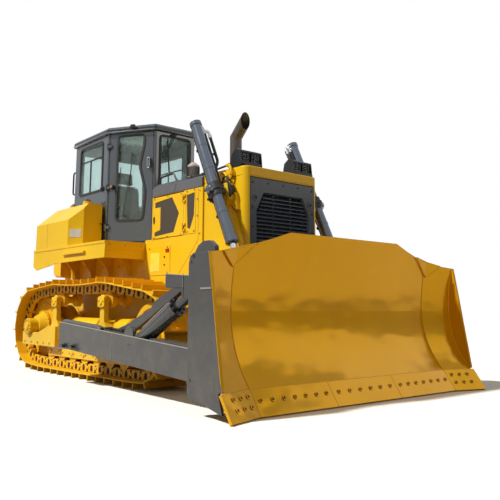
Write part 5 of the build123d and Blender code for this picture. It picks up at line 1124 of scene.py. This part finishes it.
for side, s in SIDES:
    body, out = f"lift_barrel_{side}", Y * s
    trim = Form()
    trim.turn(on_lift(s, -0.948), -LIFT_WAY, [(-0.001, 0.056), (0.010, 0.056), (0.014, 0.046)], 28)
    for along, radius in ((0.675, 0.052), (0.020, 0.0835)):
        trim.bolts(circle(on_lift(s, along), LIFT_REAR, Y, radius, 6), LIFT_WAY, 0.016, 0.010, False)
    trim.turn(on_lift(s, 0.0, 0, 0.107), out, [(-0.002, 0.044), (0.010, 0.044), (0.014, 0.034)], 24)
    head = on_lift(s, 0.0, 0, 0.121)
    trim.bolts([head - X * 0.024, head + X * 0.024], out, 0.016, 0.009, False)
    trim.turn(on_lift(s, 0.655), LIFT_WAY, collar(0.0695, 0.0735, 0.014), 32)
    for along in (-0.62, -0.30, 0.28):
        trim.turn(on_lift(s, along), LIFT_WAY, collar(0.0615, 0.066, 0.024), 28)
    trim.make(f"lift_trim_{side}", "barrel_paint", body)
    pipes = Form()
    pipes.tube([on_lift(s, *spot) for spot in ((-0.885, 0.055), (-0.885, 0.090), (-0.100, 0.090),
                                               (-0.085, 0.110))], 0.012, 10, 0.03)
    pipes.tube([on_lift(s, *spot) for spot in ((0.100, 0.108), (0.115, 0.088), (0.610, 0.088),
                                               (0.610, 0.060))], 0.009, 10, 0.03)
    for spots, foot, head, low, high, inward, wide in CLIPS:
        for along in spots:
            pipes.slab([on_lift(s, along - foot, low, inward), on_lift(s, along + foot, low, inward),
                        on_lift(s, along + head, high, inward), on_lift(s, along - head, high, inward)],
                       out, wide)
    for along in (-0.060, 0.060):
        pipes.turn(on_lift(s, along, 0.110, 0.025), out, [(0, 0.018), (0.03, 0.018), (0.034, 0.012)], 6)
    pipes.make(f"lift_pipes_{side}", "black_paint", body, bevel=0.001)
    lines, ends = Form(), Form()
    for gap, top, foot in LINES:
        lines.tube([on_lift(s, top + 0.05, 0.0, gap)] + [on_lift(s, *spot) for spot in foot], 0.018, 12,
                   0.04)
        ends.tube([on_lift(s, top, 0.0, -0.052), on_lift(s, top, 0.0, gap),
                   on_lift(s, top + 0.06, 0.0, gap)], 0.0165, 12, 0.022)
        ends.turn(on_lift(s, top + 0.045, 0.0, gap), LIFT_WAY, [(0, 0.0235), (0.055, 0.0235)], 6)
        ends.turn(on_lift(s, top, 0.0, -0.060), -out, [(0, 0.026), (0.020, 0.026)], 6)
    ends.slab([on_lift(s, along, 0.014, inward) for along, inward in
               corners(-0.55, -0.060, -0.52, -0.186)], LIFT_REAR, 0.006)
    lines.make(f"lift_lines_{side}", "rubber", body)
    ends.make(f"lift_fittings_{side}", "zinc", body)
    sleeve = Form()
    for start, end, radius in ((-0.078, -0.0205, 0.080), (0.0205, 0.078, 0.080), (-0.020, 0.020, 0.092)):
        sleeve.turn(on_lift(s, start), LIFT_WAY, collar(radius - 0.001, radius + 0.0015, end - start),
                    36)
    sleeve.make(f"yoke_sleeve_{side}", "rubber", body)
    seal = Form()
    seal.turn(on_lift(s, 0.675), LIFT_WAY, [(0.0, 0.0335), (0.0, 0.042), (0.010, 0.040),
                                            (0.010, 0.0335)], 24)
    seal.make(f"rod_wiper_{side}", "rubber", body)

    house = Form()
    house.turn(at(YOKE_X, s * 0.600, YOKE_Z), out, [(0.0, 0.104), (0.062, 0.104), (0.070, 0.128),
                                                    (0.090, 0.128), (0.094, 0.118)], 36)
    house.bolts(circle(at(YOKE_X, s * 0.673, YOKE_Z), X, Z, 0.115, 8, 0.5), -out, 0.018, 0.012, False)
    house.tube(upright(s, 0.650, (3.80, 2.31), (3.78, 2.36), (3.84, 2.38), (3.90, 2.33)), 0.013, 10,
               0.03)
    house.make(f"yoke_housing_{side}", "black_paint", bevel=0.001)
    elbows = Form()
    for route in GUARD_PIPES:
        elbows.tube([at(x, s * y, z) for x, y, z in route], 0.015, 12, 0.035)
    for x, y, z, way in ((3.830, 0.611, 2.515, X), (3.900, 0.626, 2.410, Z), (3.740, 0.617, 2.436, X),
                         (3.842, 0.638, 2.362, Z)):
        elbows.turn(at(x, s * y, z) - way * 0.018, way, [(0, 0.024), (0.036, 0.024)], 6)
    elbows.plate(s, 0.580, 3.79, 2.38, 3.92, 2.44, 0.030)
    elbows.make(f"guard_pipes_{side}", "yellow_paint", bevel=0.001)
    run = Form()
    run.tube([at(x, s * y, z) for x, y, z in ((2.95, 0.560, 2.500), (3.30, 0.560, 2.500),
                                              (3.42, 0.575, 2.500), (3.78, 0.598, 2.516))],
             0.012, 10, 0.05)
    for x in (3.05, 3.28):
        run.plate(s, 0.545, x - 0.015, 2.470, x + 0.015, 2.516, 0.030)
    run.make(f"hood_pipe_{side}", "rubber")

    for k, y in enumerate((s * 0.495, s * 0.335)):
        loop = soft_loop([at(3.9830, y + dy, z) for dy, z in corners(-0.054, 2.562, 0.054, 2.636)],
                         0.010, 3)
        Form().slab(loop, X, 0.0025).make(f"lamp_lens_{side}_{k}", "lens")
        back = Form().slab([p - X * 0.0024 for p in loop], X, 0.0012)
        back.turn(at(3.9826, y, LAMP_Z), X, [(-0.001, 0.020), (0.0004, 0.016)], 14)
        back.make(f"lamp_back_{side}_{k}", "reflector")
        bars = Form()
        for dz in (-0.021, 0.0, 0.021):
            bars.tube([at(LAMP_X, y - 0.060, LAMP_Z + dz), at(LAMP_X, y + 0.060, LAMP_Z + dz)], 0.0035, 6)
        for dy in (-0.030, 0.030):
            bars.tube([at(LAMP_X, y + dy, 2.556), at(LAMP_X, y + dy, 2.642)], 0.0035, 6)
        bars.bolts(grid(3.988, (y - 0.061, y + 0.061), 2.645), X, 0.012, 0.006, False)
        bars.make(f"lamp_guard_{side}_{k}", "black_paint")

MASK_X = 4.0995
mask = Form().bolts(grid(MASK_X, (-0.475, 0.475), (1.24, 1.52, 1.80, 2.02, 2.30)), X, 0.024, 0.010)
mask.bolts(grid(MASK_X, (-0.24, 0.0, 0.24), 2.31), X, 0.020, 0.008)
for place in grid(4.094, (-0.436, 0.436), 2.128):
    mask.turn(place, X, [(0.0, 0.019), (0.006, 0.019), (0.008, 0.012)], 6)
mask.make("mask_bolts", "black_paint")


# Deck: tank caps, blank plates, bolts, foot plates and tread

DECK_Z, STEP_Z = 1.750, 1.652
HALF = 0.7071     # the tanks' chamfers stand at 45 degrees
for side, s in SIDES:
    out, way = Vector((HALF, s * HALF, 0)), Vector((HALF, -s * HALF, 0))
    mid = at(1.078, s * 1.122, 0)
    loop = soft_loop([mid + way * u + Z * z for u, z in corners(-0.083, 1.866, 0.083, 1.986)], 0.018, 3)
    Form().slab(loop, out, 0.0022).make(f"blank_plate_{side}", "plate", bevel=0.0006)
    rivets = Form()
    for u, z in product((-0.073, 0.073), (1.876, 1.976)):
        rivets.turn(mid + way * u + Z * z + out * 0.002, out, [(0, 0.004), (0.002, 0.003)], 8)
    rivets.make(f"plate_rivets_{side}", "zinc")
    lid = Form()
    for x, r, high in ((0.43, 0.055, 2.402), (0.90, 0.07, 2.420)):
        lid.turn(at(x, s * 0.86, high), Z, [(-0.002, r * 0.78), (0.012, r * 0.74), (0.016, r * 0.5)], 24)
        lid.tube(upright(s, 0.86, (x - r * 0.6, high + 0.01), (x - r * 0.4, high + 0.036),
                         (x + r * 0.4, high + 0.036), (x + r * 0.6, high + 0.01)), 0.007, 8, 0.02)
    lid.make(f"tank_caps_{side}", "black_paint", bevel=0.001)
    trim = Form()
    for xs, zs in (((0.40, 0.47), (1.50, 1.60)), ((0.95, 1.02, 1.09), (1.47, 1.58, 1.66)),
                   ((1.42, 1.52, 1.60), (1.46, 1.56)), ((1.86, 2.02), 1.50)):
        trim.bolts(grid(xs, s * SHEET, zs), Y * s, 0.024, 0.012)
    trim.bolts(grid((1.30, 1.60, 1.90), s * 1.150, DECK_Z), Z, 0.024, 0.010)
    trim.bolts(grid(2.0885, (s * 0.66, s * 0.90, s * 1.14), 1.700), X, 0.020, 0.009)
    trim.make(f"deck_bolts_{side}", "track_steel", slot="yellow_paint")
    foot = Form()
    foot.slab(level(s, 1.7525, (1.43, 0.598), (1.85, 0.352), (2.232, 0.352), (2.232, 0.598)), -Z, 0.006)
    foot.bolts(level(s, 1.7525, (1.56, 0.575), (1.90, 0.575), (2.20, 0.575), (2.20, 0.375)), Z, 0.018,
               0.008)
    foot.make(f"foot_plate_{side}", "yellow_paint", bevel=0.001)
    grip = Form()
    for x, y in product([1.30 + 0.12 * k for k in range(6)], [0.80 + 0.09 * k for k in range(4)]):
        grip.slab(level(s, DECK_Z, (x - 0.022, y), (x, y - 0.006), (x + 0.022, y), (x, y + 0.006)), Z,
                  0.003)
    for k in range(20):
        x = 0.92 + k * 0.032
        grip.slab(level(s, STEP_Z, *corners(x, 1.204, x + 0.010, 1.232)), Z, 0.003)
    grip.make(f"deck_tread_{side}", "yellow_paint")

# Rails in place of the plain ones

rails = Form()
for s in (-1, 1):
    rails.tube(upright(s, 0.66, (0.098, 2.66), (-0.020, 2.66), (-0.020, 3.01), (0.098, 3.01)), 0.013,
               14, 0.045, 6)
    rails.tube(upright(s, 0.31, (1.92, 2.427), (1.92, 2.575), (2.215, 2.575), (2.215, 2.427)), 0.012,
               14, 0.045, 6)
    for place in grid(0.1005, s * 0.66, (2.66, 3.01)):
        rails.turn(place, -X, [(0, 0.026), (0.006, 0.026), (0.008, 0.020)], 16)
    for place in grid((1.92, 2.215), s * 0.31, 2.4255):
        rails.turn(place, Z, [(0, 0.025), (0.006, 0.025), (0.008, 0.018)], 16)
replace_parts(rails.make("cab_rails", "black_paint"), "handrails")


# Rear: tank plate bolts, filler, lamps and drawbar bolts

TANK_X = -0.4305
rear = Form().bolts(grid(TANK_X, (-0.30, -0.10, 0.10, 0.30), (1.60, 2.08)), -X, 0.022, 0.010)
rear.bolts(grid(TANK_X, (-0.30, 0.30), 1.84), -X, 0.022, 0.010)
rear.bolts(grid(-0.430, (-0.165, 0.165), (0.475, 0.570, 0.725)), -X, 0.030, 0.016)
rear.bolts(grid((0.5, 1.1, 1.7, 2.3), (-0.26, 0.26), 0.415), -Z, 0.030, 0.010)
rear.make("rear_bolts", "track_steel", slot="yellow_paint")
lid = Form()
lid.turn(at(-0.22, -0.43, 2.375), Z, [(-0.002, 0.050), (0.014, 0.048), (0.020, 0.034)], 24)
lid.make("rear_tank_cap", "black_paint", bevel=0.001)
# Case and lens of a tail lamp: name, material, x, inset, how far its corners are rounded, depth.
TAIL_LAMP = (("tail_lamp_case", "black_paint", -0.430, 0.0, 0.015, 0.026),
             ("tail_lamp", "red", -0.456, 0.01, 0.012, 0.006))
for side, s in SIDES:
    for name, material, x, inset, bend, depth in TAIL_LAMP:
        shape = corners(0.50 + inset, 2.02 + inset, 0.62 - inset, 2.12 - inset)
        loop = soft_loop([at(x, s * y, z) for y, z in shape], bend, 3)
        Form().slab(loop, -X, depth).make(f"{name}_{side}", material, bevel=0.002)


# Seat cushions and controls

def pad(name, place, size, up, fore, crown):
    """A crowned cushion: its sides pull in between the corners, with a seam round its middle."""
    fore, up = Vector(fore).normalized(), Vector(up).normalized()
    across = up.cross(fore)
    n = 14
    form = Form()
    index = {}
    for layer, i, j in product((0, 1), range(n + 1), range(n + 1)):
        u, v = i / n * 2 - 1, j / n * 2 - 1
        reach_u = size[0] / 2 * (1 - 0.045 * (1 - v * v)) * (1 - 0.9 * max(0.0, abs(v) - 0.72) ** 2)
        reach_v = size[1] / 2 * (1 - 0.045 * (1 - u * u)) * (1 - 0.9 * max(0.0, abs(u) - 0.72) ** 2)
        swell = ((1 - u ** 4) * (1 - v ** 4)) ** 0.5
        channel = 0.18 * max(0.0, 1 - abs(abs(u) - 0.62) / 0.05) if abs(v) < 0.97 else 0.0
        high = size[2] * (0.5 * swell + crown * (1 - u * u) * (1 - v * v) - 0.12 * channel)
        if layer == 0:
            high = -size[2] * 0.48 * swell
        index[layer, i, j] = len(form.verts)
        form.verts.append(tuple(Vector(place) + fore * (u * reach_u) + across * (v * reach_v)
                                + up * high))
    for i, j in product(range(n), range(n)):
        form.faces.append((index[1, i, j], index[1, i + 1, j], index[1, i + 1, j + 1],
                           index[1, i, j + 1]))
        form.faces.append((index[0, i, j], index[0, i, j + 1], index[0, i + 1, j + 1],
                           index[0, i + 1, j]))
    piece = form.make(name, "seat_fabric", crease=80)
    piece.modifiers.new("weld", "WELD").merge_threshold = 0.0008
    smooth = piece.modifiers.new("smooth", "SUBSURF")
    smooth.levels = smooth.render_levels = 1
    rim = [(i, 0) for i in range(n + 1)] + [(n, j) for j in range(1, n + 1)]
    rim += [(i, n) for i in range(n - 1, -1, -1)] + [(0, j) for j in range(n - 1, 0, -1)]
    seam = Form().tube([form.verts[index[(1, *spot)]] for spot in rim], 0.004, 6, closed=True)
    seam.make(name + "_seam", "seat_fabric")


pad("seat_cushion", at(0.725, 0, 2.135), (0.50, 0.49, 0.15), (0, 0, 1), (1, 0, 0), 0.10)
pad("seat_back", at(0.520, 0, 2.520), (0.60, 0.47, 0.13), (0.985, 0, 0.12), (-0.12, 0, 0.99), 0.12)
pad("seat_head", at(0.452, 0, 2.930), (0.19, 0.27, 0.10), (0.995, 0, 0.10), (-0.10, 0, 0.995), 0.10)
for side, s in SIDES:
    pad(f"seat_arm_{side}", at(0.70, s * 0.29, 2.420), (0.37, 0.066, 0.05), (0, 0, 1), (1, 0, 0), 0.10)
base = Form()
base.block(at(0.58, -0.17, 1.791), at(0.84, 0.17, 1.84))
for k in range(5):
    inset, z = 0.012 if k % 2 else 0.0, 1.84 + 0.030 * k
    base.block(at(0.60 + inset, -0.16 + inset, z), at(0.82 - inset, 0.16 - inset, z + 0.030))
base.block(at(0.52, -0.21, 1.99), at(0.92, 0.21, 2.065))
base.slab(upright(-1, 0.20, (0.455, 2.18), (0.500, 2.18), (0.425, 2.82), (0.392, 2.82)), Y, 0.40)
for s in (-1, 1):
    base.tube([at(x, s * y, z) for x, y, z in ((0.46, 0.215, 2.20), (0.46, 0.290, 2.30),
                                               (0.52, 0.290, 2.392), (0.86, 0.290, 2.392))],
              0.014, 10, 0.04)
    base.tube(upright(s, 0.06, (0.415, 2.80), (0.405, 2.90)), 0.007, 8)
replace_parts(base.make("seat_base", "cab_plastic", bevel=0.004), "operator_seat")

desk = Form()
desk.slab(upright(-1, 0.16, (1.600, 2.472), (1.686, 2.566), (1.680, 2.572), (1.594, 2.478)), Y, 0.32)
desk.make("console_panel", "rubber", slot="cab_plastic", bevel=0.002)
dials, faces = Form(), Form()
normal = Vector((-0.738, 0, 0.675))
for y, r in ((-0.095, 0.030), (0.0, 0.040), (0.095, 0.030)):
    dials.turn(at(1.636, y, 2.524), normal, [(-0.002, r), (0.007, r), (0.009, r * 0.88)], 24)
for y, r in ((-0.095, 0.026), (0.0, 0.035), (0.095, 0.026)):
    faces.turn(at(1.636, y, 2.524) + normal * 0.0085, normal, [(-0.002, r), (0.0012, r)], 24)
dials.make("console_dials", "black_paint", slot="cab_plastic")
faces.make("console_faces", "plate", slot="cab_plastic")
boots = Form()
for y in (-0.17, 0.17):
    foot = at(1.575, y, 2.350)
    boots.turn(foot, at(1.455, y, 2.590) - foot, [(-0.01, 0.040), (0.012, 0.036), (0.018, 0.030),
                                                  (0.028, 0.032), (0.036, 0.024), (0.046, 0.026),
                                                  (0.056, 0.015)], 18)
for y in (-0.14, 0.0, 0.14):
    boots.slab([at(x, y + dy, z) for x, dy, z in ((1.395, -0.045, 1.845), (1.395, 0.045, 1.845),
                                                  (1.470, 0.045, 1.935), (1.470, -0.045, 1.935))],
               (-0.77, 0, 0.64), 0.010)
    boots.tube(upright(1, y, (1.44, 1.900), (1.53, 1.860), (1.557, 1.840)), 0.010, 8, 0.02)
boots.make("lever_boots", "rubber", slot="cab_plastic")
